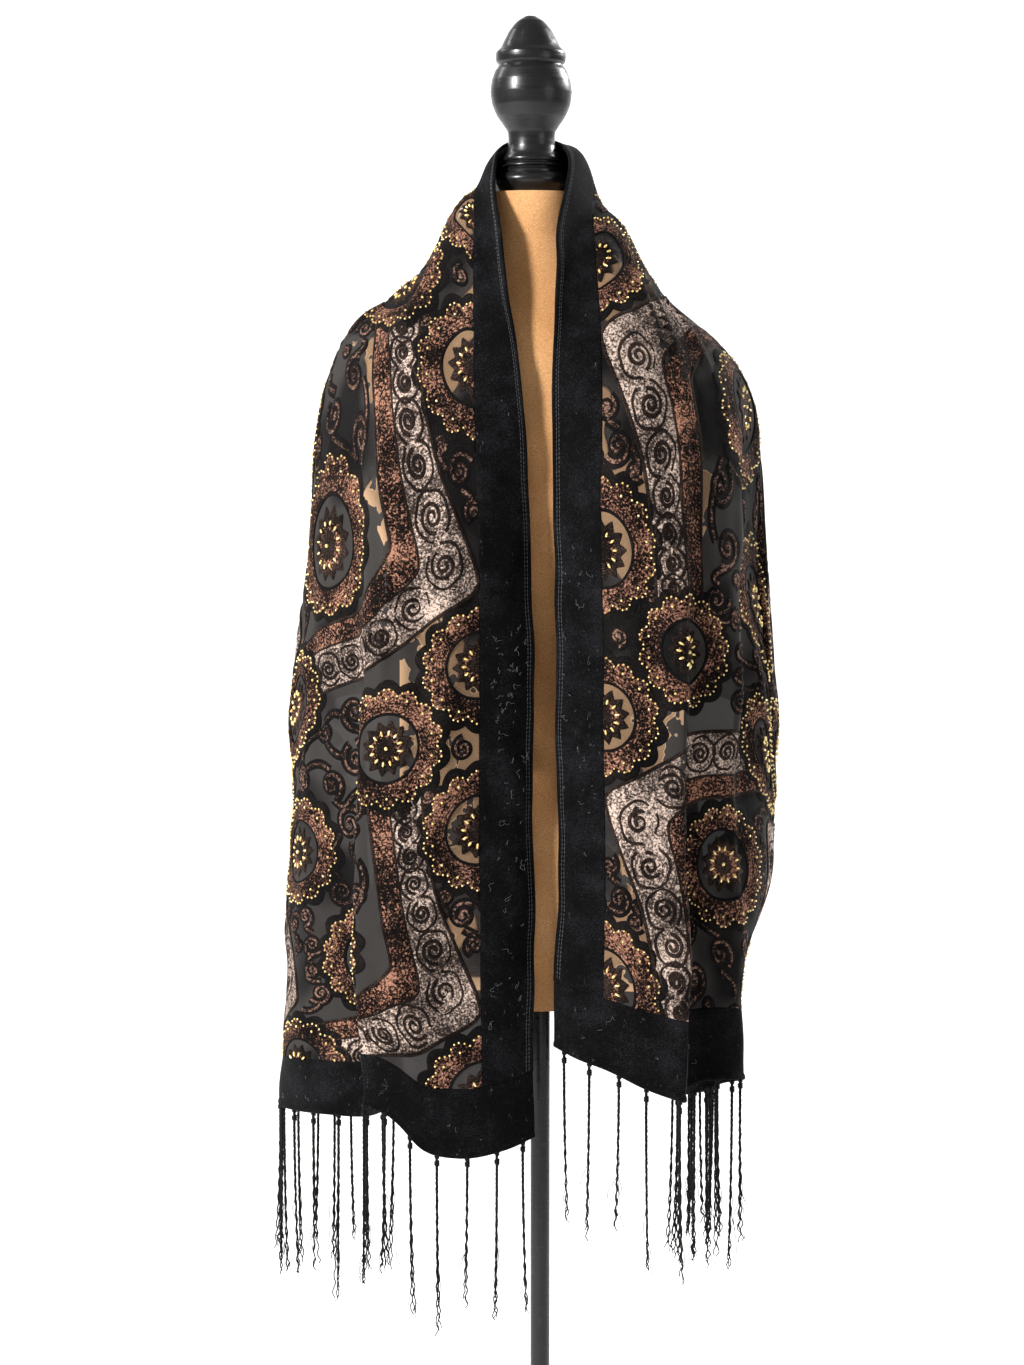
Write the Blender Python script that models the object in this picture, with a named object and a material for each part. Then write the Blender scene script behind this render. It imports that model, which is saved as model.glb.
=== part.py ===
"""Velvet shawl on a dress form. Metres, +Z up, the front faces -Y, the floor is z = 0."""

import math

import bmesh
import bpy
import numpy as np

# Cut of the shawl, in metres. Positions on the cloth are (along, across): along runs from the middle
# of the back of the neck to either end, across runs from the inner edge to the outer edge.
CLOTH_WIDTH = 0.560
LEFT_LENGTH = 0.950
RIGHT_LENGTH = 0.870
CLOTH_WALL = 0.0020
LONG_BORDER = 0.052
END_BORDER = 0.058
SEAM_GAP = 0.0003
SHOULDER_SEAM = 0.296

# The drape over the shoulders: how high the cloth lies at a share of its reach from the neck.
DRAPE_HALF_WIDTH = 0.190
DRAPE_HALF_DEPTH = 0.122
DRAPE_CENTRE_X = -0.006
DRAPE_PROFILE = (
    # (share of the reach, height)
    (0.10, 1.412),
    (0.20, 1.402),
    (0.27, 1.386),
    (0.33, 1.362),
    (0.43, 1.317),
    (0.53, 1.278),
    (0.75, 1.245),
    (0.93, 1.212),
    (1.00, 1.190),
    (1.04, 1.165),
)
COLLAR_BLEND = 0.060

# The inner edge, which stands round the neck and then hangs down the front.
INNER_EDGE = (
    # (along, left x, right x, y, z)
    (0.000, -0.008, -0.008, 0.042, 1.411),
    (0.066, -0.038, 0.022, -0.014, 1.394),
    (0.166, -0.033, 0.014, -0.072, 1.310),
    (0.296, -0.017, 0.009, -0.106, 1.186),
)

# Where each line across the shawl leaves the shoulder, with the bend of its way there and the flare
# of the fall below it.
SHOULDER_FALLS = (
    # (along, bend x, bend y, end x, end y, outward flare for each metre)
    (0.000, 0.000, 0.080, 0.000, 0.120, 0.030),
    (0.066, 0.055, 0.050, 0.078, 0.115, 0.040),
    (0.166, 0.080, 0.000, 0.158, 0.082, 0.050),
    (0.296, 0.135, -0.112, 0.187, 0.006, 0.030),
)

# Soft folds that fall down the back from the neck and shoulders.
BACK_FOLDS = (
    # (along, half width, depth, where across it starts)
    (-0.235, 0.026, 0.010, 0.150),
    (-0.165, 0.022, 0.008, 0.190),
    (-0.095, 0.024, 0.009, 0.130),
    (-0.030, 0.018, 0.005, 0.240),
    (0.045, 0.022, 0.007, 0.160),
    (0.110, 0.020, 0.008, 0.200),
    (0.175, 0.024, 0.009, 0.140),
    (0.245, 0.024, 0.009, 0.170),
)
FOLD_GROWTH = 0.260

# Lines across the hanging fronts, in millimetres from the inner edge: (across, outward x, y, drop).
LEFT_CHEST = (
    (0, 9, -109, 0), (30, 32, -126, 1), (52, 55, -134, 3), (100, 98, -142, 8), (137, 131, -136, 12),
    (158, 149, -124, 15), (178, 156, -107, 18), (217, 183, -78, 26), (255, 204, -46, 36),
    (297, 211, -20, 62), (340, 214, -12, 102), (400, 213, 20, 146), (470, 206, 70, 178), (560, 190, 116, 204),
)
LEFT_WAIST = (
    (0, 8, -109, 0), (30, 31, -126, 1), (52, 54, -134, 2), (100, 99, -144, 6), (140, 135, -139, 10),
    (165, 155, -126, 13), (186, 152, -106, 16), (212, 168, -86, 20), (255, 201, -58, 28),
    (297, 217, -28, 44), (335, 221, -8, 70), (390, 222, 32, 100), (450, 214, 74, 122), (510, 196, 104, 140),
    (560, 174, 120, 152),
)
LEFT_LOW = (
    (0, 7, -109, 0), (30, 31, -126, 1), (52, 54, -134, 2), (100, 99, -144, 5), (150, 144, -140, 9),
    (172, 164, -130, 11), (195, 148, -110, 14), (225, 158, -90, 18), (262, 190, -72, 22),
    (297, 214, -44, 28), (330, 224, -14, 38), (390, 225, 36, 62), (440, 212, 76, 78),
    (480, 194, 92, 88), (520, 176, 112, 96), (560, 144, 116, 102),
)
LEFT_HEM = (
    (0, 6, -110, 0), (30, 30, -126, 8), (75, 73, -138, 13), (110, 106, -140, 4), (130, 122, -138, -14),
    (150, 139, -136, -27), (170, 157, -130, -31), (195, 140, -110, -24), (225, 152, -90, -14),
    (262, 188, -74, -12), (297, 216, -48, -10), (330, 232, -16, -8), (390, 232, 44, -6),
    (440, 206, 84, -2), (480, 182, 82, 0), (520, 162, 110, 2), (560, 124, 108, 4),
)
RIGHT_CHEST = (
    (0, 11, -109, 0), (30, 33, -126, 1), (52, 52, -136, 3), (95, 90, -147, 6), (132, 122, -142, 10),
    (150, 136, -130, 12), (175, 157, -122, 16), (196, 171, -104, 20), (220, 160, -82, 24),
    (250, 172, -60, 30), (297, 192, -28, 56), (340, 205, -18, 98), (400, 211, 16, 144),
    (470, 206, 60, 182), (560, 192, 104, 212),
)
RIGHT_WAIST = (
    (0, 13, -109, 0), (30, 35, -126, 1), (52, 54, -134, 2), (95, 92, -142, 5), (128, 121, -141, 8),
    (148, 124, -122, 11), (175, 144, -112, 14), (210, 171, -96, 18), (230, 170, -76, 22),
    (256, 182, -58, 26), (297, 198, -34, 46), (340, 207, -16, 78), (400, 211, 26, 110),
    (470, 205, 74, 134), (520, 190, 96, 148), (560, 168, 112, 158),
)
RIGHT_LOW = (
    (0, 15, -109, 0), (30, 36, -126, 1), (52, 55, -134, 2), (95, 94, -143, 4), (127, 124, -142, 7),
    (150, 112, -122, 10), (172, 126, -106, 12), (217, 158, -98, 16), (240, 175, -84, 20),
    (272, 194, -60, 26), (310, 202, -28, 40), (350, 203, 2, 60), (400, 196, 40, 82),
    (470, 178, 80, 102), (520, 158, 92, 112), (560, 130, 98, 118),
)
RIGHT_HEM = (
    (0, 11, -110, 0), (30, 32, -126, 9), (52, 54, -132, 16), (95, 92, -140, 34), (130, 126, -138, 45),
    (150, 118, -116, 42), (172, 134, -98, 36), (217, 168, -86, 34), (234, 181, -76, 36),
    (260, 166, -56, 42), (300, 138, -42, 54), (330, 124, -20, 60), (370, 142, 8, 63),
    (410, 160, 30, 64), (470, 158, 72, 62), (520, 140, 90, 60), (560, 116, 88, 58),
)
FRONT_LINES = {
    # side: rows of (along, inner edge height, line)
    "left": (
        (0.430, 1.052, LEFT_CHEST),
        (0.560, 0.922, LEFT_WAIST),
        (0.710, 0.772, LEFT_LOW),
        (LEFT_LENGTH, 0.532, LEFT_HEM),
    ),
    "right": (
        (0.430, 1.052, RIGHT_CHEST),
        (0.555, 0.927, RIGHT_WAIST),
        (0.690, 0.792, RIGHT_LOW),
        (RIGHT_LENGTH, 0.612, RIGHT_HEM),
    ),
}
OUTWARD = {"left": -1.0, "right": 1.0}

# How finely the walls are divided.
ALONG_STEP = 0.026
BACK_STEP = 0.0165
ACROSS_STEP = 0.024

# Fringe: knotted strands in a narrow strip that is parted from the end borders.
STRAND_PITCH = 0.0265
STRAND_LENGTH = 0.152
STRAND_WIDTH = 0.0024
STRIP_HEIGHT = 0.0040

# Dress form. Its shoulders carry the cloth, a seam gap below it.
FORM_AXIS_LEAN = 0.0105
FORM_SECTIONS = (
    # (height, half width, half depth)
    (0.640, 0.150, 0.094),
    (0.720, 0.152, 0.097),
    (0.820, 0.143, 0.092),
    (0.930, 0.131, 0.086),
    (1.020, 0.141, 0.092),
    (1.090, 0.156, 0.096),
    (1.150, 0.1742, 0.0964),
    (1.190, 0.1749, 0.0907),
    (1.215, 0.1695, 0.0875),
    (1.240, 0.1463, 0.0800),
    (1.265, 0.1089, 0.0668),
    (1.290, 0.0667, 0.0553),
    (1.320, 0.044, 0.042),
    (1.3590, 0.043, 0.042),
)
FINIAL_PROFILE = (
    # (height, radius)
    (1.3593, 0.0285),
    (1.3765, 0.0285),
    (1.3772, 0.0262),
    (1.3798, 0.0262),
    (1.3806, 0.0240),
    (1.3820, 0.0240),
    (1.3828, 0.0262),
    (1.3846, 0.0262),
    (1.3854, 0.0240),
    (1.3868, 0.0240),
    (1.3876, 0.0258),
    (1.3900, 0.0258),
    (1.3945, 0.0228),
    (1.4010, 0.0210),
    (1.4130, 0.0212),
    (1.4190, 0.0250),
    (1.4270, 0.0305),
    (1.4370, 0.0347),
    (1.4480, 0.0362),
    (1.4590, 0.0347),
    (1.4680, 0.0312),
    (1.4720, 0.0285),
    (1.4745, 0.0306),
    (1.4790, 0.0312),
    (1.4835, 0.0306),
    (1.4870, 0.0268),
    (1.4940, 0.0232),
    (1.5030, 0.0182),
    (1.5110, 0.0110),
    (1.5150, 0.0042),
)
BASE_PROFILE = (
    # (height, radius)
    (0.0000, 0.1600),
    (0.0040, 0.1650),
    (0.0120, 0.1650),
    (0.0170, 0.1600),
    (0.0230, 0.1100),
    (0.0300, 0.0520),
    (0.0360, 0.0300),
    (0.0420, 0.0240),
    (0.0560, 0.0220),
)
POLE_RADIUS = 0.0088
POLE_BOTTOM = BASE_PROFILE[-1][0] + SEAM_GAP
POLE_TOP = FORM_SECTIONS[0][0] - SEAM_GAP
FORM_SIDES = 36
WOOD_SIDES = 24
POLE_SIDES = 20
MM = 0.001


def clear_scene():
    for thing in list(bpy.data.objects):
        bpy.data.objects.remove(thing)


def material(name, colour, roughness, metallic=0.0):
    made = bpy.data.materials.new(name)
    made.use_nodes = True
    shader = made.node_tree.nodes["Principled BSDF"]
    shader.inputs["Base Color"].default_value = (*colour, 1.0)
    shader.inputs["Roughness"].default_value = roughness
    shader.inputs["Metallic"].default_value = metallic
    return made


def add_object(name, build, finish, smooth=True):
    """Makes one named object from a bmesh, with its faces pointing out."""
    bmesh.ops.recalc_face_normals(build, faces=build.faces)
    mesh = bpy.data.meshes.new(name)
    build.to_mesh(mesh)
    build.free()
    thing = bpy.data.objects.new(name, mesh)
    bpy.context.scene.collection.objects.link(thing)
    mesh.materials.append(finish)
    if smooth:
        mesh.shade_smooth()
        mesh.set_sharp_from_angle(angle=math.radians(40))
    return thing


def curve_through(knots, values, at):
    """A smooth curve through the values at the knots, read at the given places."""
    knots = np.asarray(knots, float)
    values = np.asarray(values, float)
    at = np.clip(np.asarray(at, float), knots[0], knots[-1])
    slopes = np.gradient(values, knots, axis=0)
    low = np.clip(np.searchsorted(knots, at, side="right") - 1, 0, len(knots) - 2)
    span = knots[low + 1] - knots[low]
    t = ((at - knots[low]) / span)[:, None]
    values = values.reshape(len(knots), -1)
    slopes = slopes.reshape(len(knots), -1)
    start = values[low] * (2 * t**3 - 3 * t**2 + 1) + slopes[low] * (t**3 - 2 * t**2 + t) * span[:, None]
    end = values[low + 1] * (3 * t**2 - 2 * t**3) + slopes[low + 1] * (t**3 - t**2) * span[:, None]
    return start + end


def drape_height(x, y):
    reach = np.hypot((x - DRAPE_CENTRE_X) / DRAPE_HALF_WIDTH, y / DRAPE_HALF_DEPTH)
    shares, heights = zip(*DRAPE_PROFILE)
    return curve_through(shares, heights, reach)[:, 0]


def shoulder_line(side, row, across):
    """A line across the shawl that lies over the shoulder and then falls, read at lengths across."""
    outward = OUTWARD[side]
    along, bend_x, bend_y, end_x, end_y, flare = row
    edge = next(entry for entry in INNER_EDGE if entry[0] == along)
    start = np.array([edge[1] if side == "left" else edge[2], edge[3]])
    bend = np.array([bend_x * outward, bend_y])
    end = np.array([end_x * outward, end_y])
    t = np.linspace(0, 1, 60)[:, None]
    plan = start * (1 - t) ** 2 + 2 * bend * t * (1 - t) + end * t**2
    height = drape_height(plan[:, 0], plan[:, 1])
    run = np.hypot(*(plan - start).T)
    height = height + (edge[4] - height[0]) * np.clip(1 - run / COLLAR_BLEND, 0, 1) ** 2
    fall = np.linspace(0.006, CLOTH_WIDTH, 80)
    away = end / np.hypot(*end)
    tail_plan = end + away * (0.006 + flare * fall[:, None])
    tail = np.column_stack([tail_plan, height[-1] - fall])
    points = np.vstack([np.column_stack([plan, height]), tail])
    for _ in range(14):
        points[1:-1] = (points[:-2] + 2 * points[1:-1] + points[2:]) / 4
    lengths = np.concatenate([[0], np.cumsum(np.linalg.norm(np.diff(points, axis=0), axis=1))])
    return np.column_stack([np.interp(across, lengths, points[:, axis]) for axis in range(3)])


def front_line(side, height, rows, across):
    """A line across a hanging front, through its named folds."""
    table = np.array(rows, float) * MM
    found = curve_through(table[:, 0], table[:, 1:], across)
    return np.column_stack([OUTWARD[side] * found[:, 0], found[:, 1], height - found[:, 2]])


def cloth_points(along, across):
    """Points of the cloth's middle surface for signed lengths along (left is negative) and lengths across."""
    across = np.asarray(across, float)
    lines = {}
    for side, outward in OUTWARD.items():
        for row in SHOULDER_FALLS:
            lines[outward * row[0]] = shoulder_line(side, row, across)
        for place, height, rows in FRONT_LINES[side]:
            lines[outward * place] = front_line(side, height, rows, across)
    places = sorted(lines)
    stack = np.array([lines[place] for place in places])
    flat = curve_through(places, stack.reshape(len(places), -1), along)
    return flat.reshape(len(flat), len(across), 3)


def fold_heights(along, across):
    """How far the soft back folds lift the cloth at a grid of places."""
    lift = np.zeros((len(along), len(across)))
    for place, half_width, depth, start in BACK_FOLDS:
        rise = np.exp(-(((along - place) / half_width) ** 2))
        grown = np.clip((across - start) / FOLD_GROWTH, 0, 1)
        lift += depth * rise[:, None] * (grown * grown * (3 - 2 * grown))[None, :]
    return lift


def draped_points(along, across):
    """The cloth's middle surface with its soft back folds, and its unit normals."""
    points = cloth_points(along, across)
    points = points + surface_normals(points) * fold_heights(along, across)[:, :, None]
    return points, surface_normals(points)


def surface_normals(points):
    """Unit normals of a grid of points, pointing away from the form."""
    rows = np.gradient(points, axis=0)
    columns = np.gradient(points, axis=1)
    normals = np.cross(columns, rows)
    return normals / np.linalg.norm(normals, axis=2, keepdims=True)


def divisions(start, end, step):
    return np.linspace(start, end, max(1, round((end - start) / step)) + 1)


def joined(*runs):
    return np.unique(np.round(np.concatenate(runs), 6))


ALONG = joined(
    divisions(-LEFT_LENGTH, -LEFT_LENGTH + END_BORDER, ALONG_STEP),
    divisions(-LEFT_LENGTH + END_BORDER, -SHOULDER_SEAM, ALONG_STEP),
    divisions(-SHOULDER_SEAM, SHOULDER_SEAM, BACK_STEP),
    divisions(SHOULDER_SEAM, RIGHT_LENGTH - END_BORDER, ALONG_STEP),
    divisions(RIGHT_LENGTH - END_BORDER, RIGHT_LENGTH, ALONG_STEP),
)
ACROSS = joined(
    divisions(0.0, LONG_BORDER, ACROSS_STEP),
    divisions(LONG_BORDER, CLOTH_WIDTH - LONG_BORDER, ACROSS_STEP),
    divisions(CLOTH_WIDTH - LONG_BORDER, CLOTH_WIDTH, ACROSS_STEP),
)


def patch_grid(first, last, inner, outer):
    """Points and normals of one piece of the cloth, its edges drawn in by half a seam gap."""
    along = ALONG[(ALONG > first - 1e-6) & (ALONG < last + 1e-6)].copy()
    across = ACROSS[(ACROSS > inner - 1e-6) & (ACROSS < outer + 1e-6)].copy()
    points, normals = draped_points(ALONG, ACROSS)
    rows = np.searchsorted(ALONG, along)
    columns = np.searchsorted(ACROSS, across)
    points = points[np.ix_(rows, columns)]
    normals = normals[np.ix_(rows, columns)]
    half = SEAM_GAP / 2
    borders = [(0, 1), (-1, -2)]
    for edge, inside in borders:
        step = points[inside] - points[edge]
        points[edge] += step * (half / np.linalg.norm(step, axis=1, keepdims=True))
    for edge, inside in borders:
        step = points[:, inside] - points[:, edge]
        points[:, edge] += step * (half / np.linalg.norm(step, axis=1, keepdims=True))
    return points, normals


def add_wall(name, first, last, inner, outer, finish):
    """One sewn piece of the cloth as a closed wall."""
    points, normals = patch_grid(first, last, inner, outer)
    build = bmesh.new()
    half = CLOTH_WALL / 2
    front = [[build.verts.new(p) for p in row] for row in points + normals * half]
    back = [[build.verts.new(p) for p in row] for row in points - normals * half]
    rows, columns = len(front), len(front[0])
    for i in range(rows - 1):
        for j in range(columns - 1):
            build.faces.new((front[i][j], front[i + 1][j], front[i + 1][j + 1], front[i][j + 1]))
            build.faces.new((back[i][j], back[i][j + 1], back[i + 1][j + 1], back[i + 1][j]))
    for i in range(rows - 1):
        for j in (0, columns - 1):
            build.faces.new((front[i][j], front[i + 1][j], back[i + 1][j], back[i][j]))
    for j in range(columns - 1):
        for i in (0, rows - 1):
            build.faces.new((front[i][j], front[i][j + 1], back[i][j + 1], back[i][j]))
    return add_object(name, build, finish)


def end_edge(side, across):
    """The end of the cloth read at lengths across: points, the way past the end, and the normals."""
    points, normals = draped_points(ALONG, ACROSS)
    edge, inside = (0, 1) if side == "left" else (-1, -2)
    past = points[edge] - points[inside]
    past = past / np.linalg.norm(past, axis=1, keepdims=True)
    rows = (points[edge], past, normals[edge])
    return [np.column_stack([np.interp(across, ACROSS, row[:, axis]) for axis in range(3)]) for row in rows]


def add_fringe(name, side, finish):
    """The strip along one end of the cloth, with its strands grown down from it."""
    count = round(CLOTH_WIDTH / STRAND_PITCH)
    pitch = CLOTH_WIDTH / count
    half_share = STRAND_WIDTH / 2
    roots = [pitch * (i + 0.5) for i in range(count)]
    across = joined(ACROSS, [r - half_share for r in roots], [r + half_share for r in roots])
    keep = [min(abs(a - r) for r in roots) > half_share - 1e-5 for a in across]
    across = across[np.array(keep)]
    line, past, normal = end_edge(side, across)
    top = line + past * SEAM_GAP
    low = top + past * STRIP_HEIGHT
    half = CLOTH_WALL / 2
    rings = (top + normal * half, top - normal * half, low + normal * half, low - normal * half)
    build = bmesh.new()
    verts = [[build.verts.new(p) for p in ring] for ring in rings]
    front_top, back_top, front_low, back_low = verts
    starts = {int(np.argmin(np.abs(across - (r - half_share)))): i for i, r in enumerate(roots)}
    for j in range(len(across) - 1):
        build.faces.new((front_top[j], back_top[j], back_top[j + 1], front_top[j + 1]))
        build.faces.new((front_top[j], front_top[j + 1], front_low[j + 1], front_low[j]))
        build.faces.new((back_top[j], back_low[j], back_low[j + 1], back_top[j + 1]))
        corners = (front_low[j], front_low[j + 1], back_low[j + 1], back_low[j])
        if j not in starts:
            build.faces.new(corners)
            continue
        strand = starts[j]
        reach = STRAND_LENGTH * (1.0 + 0.09 * math.sin(strand * 2.3) + 0.05 * math.sin(strand * 5.1))
        middle = sum((v.co for v in corners), start=corners[0].co * 0) / 4
        previous = corners
        for share, size in ((0.5, 1.0), (1.0, 0.55)):
            ring = []
            for v in corners:
                spot = middle + (v.co - middle) * size
                spot.z = middle.z - reach * share
                spot.x += 0.003 * math.sin(strand * 1.7 + share * 2.0) * share
                ring.append(build.verts.new(spot))
            for a in range(4):
                b = (a + 1) % 4
                build.faces.new((previous[a], previous[b], ring[b], ring[a]))
            previous = ring
        build.faces.new(previous)
    last = len(across) - 1
    build.faces.new((front_top[0], front_low[0], back_low[0], back_top[0]))
    build.faces.new((front_top[last], back_top[last], back_low[last], front_low[last]))
    return add_object(name, build, finish, smooth=False)


def add_rings(name, rings, finish):
    """A closed body through rings of points, one ring for each height."""
    build = bmesh.new()
    verts = [[build.verts.new(p) for p in ring] for ring in rings]
    count = len(verts[0])
    for lower, upper in zip(verts, verts[1:]):
        for a in range(count):
            b = (a + 1) % count
            build.faces.new((lower[a], lower[b], upper[b], upper[a]))
    build.faces.new(verts[0])
    build.faces.new(verts[-1])
    return add_object(name, build, finish)


def ellipse_ring(height, half_width, half_depth, sides):
    """A level ring about the form's axis, which stands slightly off plumb above the pole."""
    centre = -FORM_AXIS_LEAN * max(0.0, height - FORM_SECTIONS[0][0])
    turns = [2 * math.pi * i / sides for i in range(sides)]
    return [(centre + half_width * math.cos(a), half_depth * math.sin(a), height) for a in turns]


def add_form(suede):
    heights = np.array([row[0] for row in FORM_SECTIONS])
    sizes = np.array([row[1:] for row in FORM_SECTIONS])
    rings = [ellipse_ring(z, wide, deep, FORM_SIDES) for z, (wide, deep) in zip(heights, sizes)]
    return add_rings("form_torso", rings, suede)


def add_turned(name, profile, sides, finish):
    rings = [ellipse_ring(height, radius, radius, sides) for height, radius in profile]
    return add_rings(name, rings, finish)


def main():
    clear_scene()
    suede = material("tan_suede", (0.55, 0.30, 0.14), 0.85)
    black_wood = material("black_painted_wood", (0.020, 0.019, 0.020), 0.42)
    devore = material("devore_velvet", (0.060, 0.036, 0.028), 0.80)
    border = material("black_velvet", (0.008, 0.008, 0.012), 0.85)
    silk = material("fringe_silk", (0.010, 0.009, 0.009), 0.60)

    add_form(suede)
    add_turned("form_finial", FINIAL_PROFILE, WOOD_SIDES, black_wood)
    add_turned("stand_base", BASE_PROFILE, FORM_SIDES, black_wood)
    pole_profile = ((POLE_BOTTOM, POLE_RADIUS), (POLE_TOP, POLE_RADIUS))
    add_turned("stand_pole", pole_profile, POLE_SIDES, black_wood)

    left_end = -LEFT_LENGTH + END_BORDER
    right_end = RIGHT_LENGTH - END_BORDER
    outer_seam = CLOTH_WIDTH - LONG_BORDER
    add_wall("panel_left", left_end, -SHOULDER_SEAM, LONG_BORDER, outer_seam, devore)
    add_wall("panel_back", -SHOULDER_SEAM, SHOULDER_SEAM, LONG_BORDER, outer_seam, devore)
    add_wall("panel_right", SHOULDER_SEAM, right_end, LONG_BORDER, outer_seam, devore)
    add_wall("border_inner", left_end, right_end, 0.0, LONG_BORDER, border)
    add_wall("border_outer", left_end, right_end, outer_seam, CLOTH_WIDTH, border)
    add_wall("border_end_left", -LEFT_LENGTH, left_end, 0.0, CLOTH_WIDTH, border)
    add_wall("border_end_right", right_end, RIGHT_LENGTH, 0.0, CLOTH_WIDTH, border)
    add_fringe("fringe_left", "left", silk)
    add_fringe("fringe_right", "right", silk)


main()
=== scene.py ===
"""Looks of the velvet shawl on its dress form: cloth, pile, beads, fringe, finishes and studio."""

import math

import bpy
import numpy as np
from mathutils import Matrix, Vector


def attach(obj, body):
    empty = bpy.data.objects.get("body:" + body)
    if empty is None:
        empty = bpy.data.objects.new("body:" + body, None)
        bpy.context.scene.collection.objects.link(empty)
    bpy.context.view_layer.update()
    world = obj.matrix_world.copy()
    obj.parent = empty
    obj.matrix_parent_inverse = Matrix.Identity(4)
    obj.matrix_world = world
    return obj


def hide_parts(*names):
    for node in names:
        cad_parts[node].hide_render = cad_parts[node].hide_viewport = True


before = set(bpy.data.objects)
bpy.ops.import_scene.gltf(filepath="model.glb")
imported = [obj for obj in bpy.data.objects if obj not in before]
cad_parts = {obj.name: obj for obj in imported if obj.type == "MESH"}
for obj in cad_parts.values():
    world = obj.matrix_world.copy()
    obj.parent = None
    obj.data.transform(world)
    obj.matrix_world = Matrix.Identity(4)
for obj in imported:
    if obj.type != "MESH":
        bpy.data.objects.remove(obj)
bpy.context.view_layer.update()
BODY = "root"
MM = 0.001

# Cut of the shawl, in metres. Positions on the cloth are (along, across): along runs from the middle
# of the back of the neck to either end, left being negative, and across from the inner to the outer edge.
CLOTH_WIDTH = 0.560
LEFT_LENGTH = 0.950
RIGHT_LENGTH = 0.870
LONG_BORDER = 0.052
END_BORDER = 0.058
LEFT_SEAM = -LEFT_LENGTH + END_BORDER
RIGHT_SEAM = RIGHT_LENGTH - END_BORDER
OUTER_SEAM = CLOTH_WIDTH - LONG_BORDER

# The drape over the shoulders: how high the cloth lies at a share of its reach from the neck.
DRAPE_HALF_WIDTH = 0.190
DRAPE_HALF_DEPTH = 0.122
DRAPE_CENTRE_X = -0.006
DRAPE_PROFILE = (
    # (share of the reach, height)
    (0.10, 1.412),
    (0.20, 1.402),
    (0.27, 1.386),
    (0.33, 1.362),
    (0.43, 1.317),
    (0.53, 1.278),
    (0.75, 1.245),
    (0.93, 1.212),
    (1.00, 1.190),
    (1.04, 1.165),
)
COLLAR_BLEND = 0.060
PLAN_POINTS = 60
FALL_POINTS = 80
FALL_START = 0.006
SHOULDER_SMOOTHING = 14
FOLD_SMOOTHING = 3

# The inner edge, which stands round the neck and then hangs down the front.
INNER_EDGE = (
    # (along, left x, right x, y, z)
    (0.000, -0.008, -0.008, 0.042, 1.411),
    (0.066, -0.038, 0.022, -0.014, 1.394),
    (0.166, -0.033, 0.014, -0.072, 1.310),
    (0.296, -0.017, 0.009, -0.106, 1.186),
)

# Where each line across the shawl leaves the shoulder, with the bend of its way there and its flare.
SHOULDER_FALLS = (
    # (along, bend x, bend y, end x, end y, outward flare for each metre)
    (0.000, 0.000, 0.080, 0.000, 0.120, 0.030),
    (0.066, 0.055, 0.050, 0.078, 0.115, 0.040),
    (0.166, 0.080, 0.000, 0.158, 0.082, 0.050),
    (0.296, 0.135, -0.112, 0.187, 0.006, 0.030),
)

# Soft folds that fall down the back from the neck and shoulders.
BACK_FOLDS = (
    # (along, half width, depth, where across it starts)
    (-0.235, 0.026, 0.010, 0.150),
    (-0.165, 0.022, 0.008, 0.190),
    (-0.095, 0.024, 0.009, 0.130),
    (-0.030, 0.018, 0.005, 0.240),
    (0.045, 0.022, 0.007, 0.160),
    (0.110, 0.020, 0.008, 0.200),
    (0.175, 0.024, 0.009, 0.140),
    (0.245, 0.024, 0.009, 0.170),
)
FOLD_GROWTH = 0.260

# Lines across the hanging fronts, in millimetres from the inner edge: (across, outward x, y, drop).
LEFT_CHEST = (
    (0, 9, -109, 0), (30, 32, -126, 1), (52, 55, -134, 3), (100, 98, -142, 8), (137, 131, -136, 12),
    (158, 149, -124, 15), (178, 156, -107, 18), (217, 183, -78, 26), (255, 204, -46, 36),
    (297, 211, -20, 62), (340, 214, -12, 102), (400, 213, 20, 146), (470, 206, 70, 178), (560, 190, 116, 204),
)
LEFT_WAIST = (
    (0, 8, -109, 0), (30, 31, -126, 1), (52, 54, -134, 2), (100, 99, -144, 6), (140, 135, -139, 10),
    (165, 155, -126, 13), (186, 152, -106, 16), (212, 168, -86, 20), (255, 201, -58, 28),
    (297, 217, -28, 44), (335, 221, -8, 70), (390, 222, 32, 100), (450, 214, 74, 122), (510, 196, 104, 140),
    (560, 174, 120, 152),
)
LEFT_LOW = (
    (0, 7, -109, 0), (30, 31, -126, 1), (52, 54, -134, 2), (100, 99, -144, 5), (150, 144, -140, 9),
    (172, 164, -130, 11), (195, 148, -110, 14), (225, 158, -90, 18), (262, 190, -72, 22),
    (297, 214, -44, 28), (330, 224, -14, 38), (390, 225, 36, 62), (440, 212, 76, 78),
    (480, 194, 92, 88), (520, 176, 112, 96), (560, 144, 116, 102),
)
LEFT_HEM = (
    (0, 6, -110, 0), (30, 30, -126, 8), (75, 73, -138, 13), (110, 106, -140, 4), (130, 122, -138, -14),
    (150, 139, -136, -27), (170, 157, -130, -31), (195, 140, -110, -24), (225, 152, -90, -14),
    (262, 188, -74, -12), (297, 216, -48, -10), (330, 232, -16, -8), (390, 232, 44, -6),
    (440, 206, 84, -2), (480, 182, 82, 0), (520, 162, 110, 2), (560, 124, 108, 4),
)
RIGHT_CHEST = (
    (0, 11, -109, 0), (30, 33, -126, 1), (52, 52, -136, 3), (95, 90, -147, 6), (132, 122, -142, 10),
    (150, 136, -130, 12), (175, 157, -122, 16), (196, 171, -104, 20), (220, 160, -82, 24),
    (250, 172, -60, 30), (297, 192, -28, 56), (340, 205, -18, 98), (400, 211, 16, 144),
    (470, 206, 60, 182), (560, 192, 104, 212),
)
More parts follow.
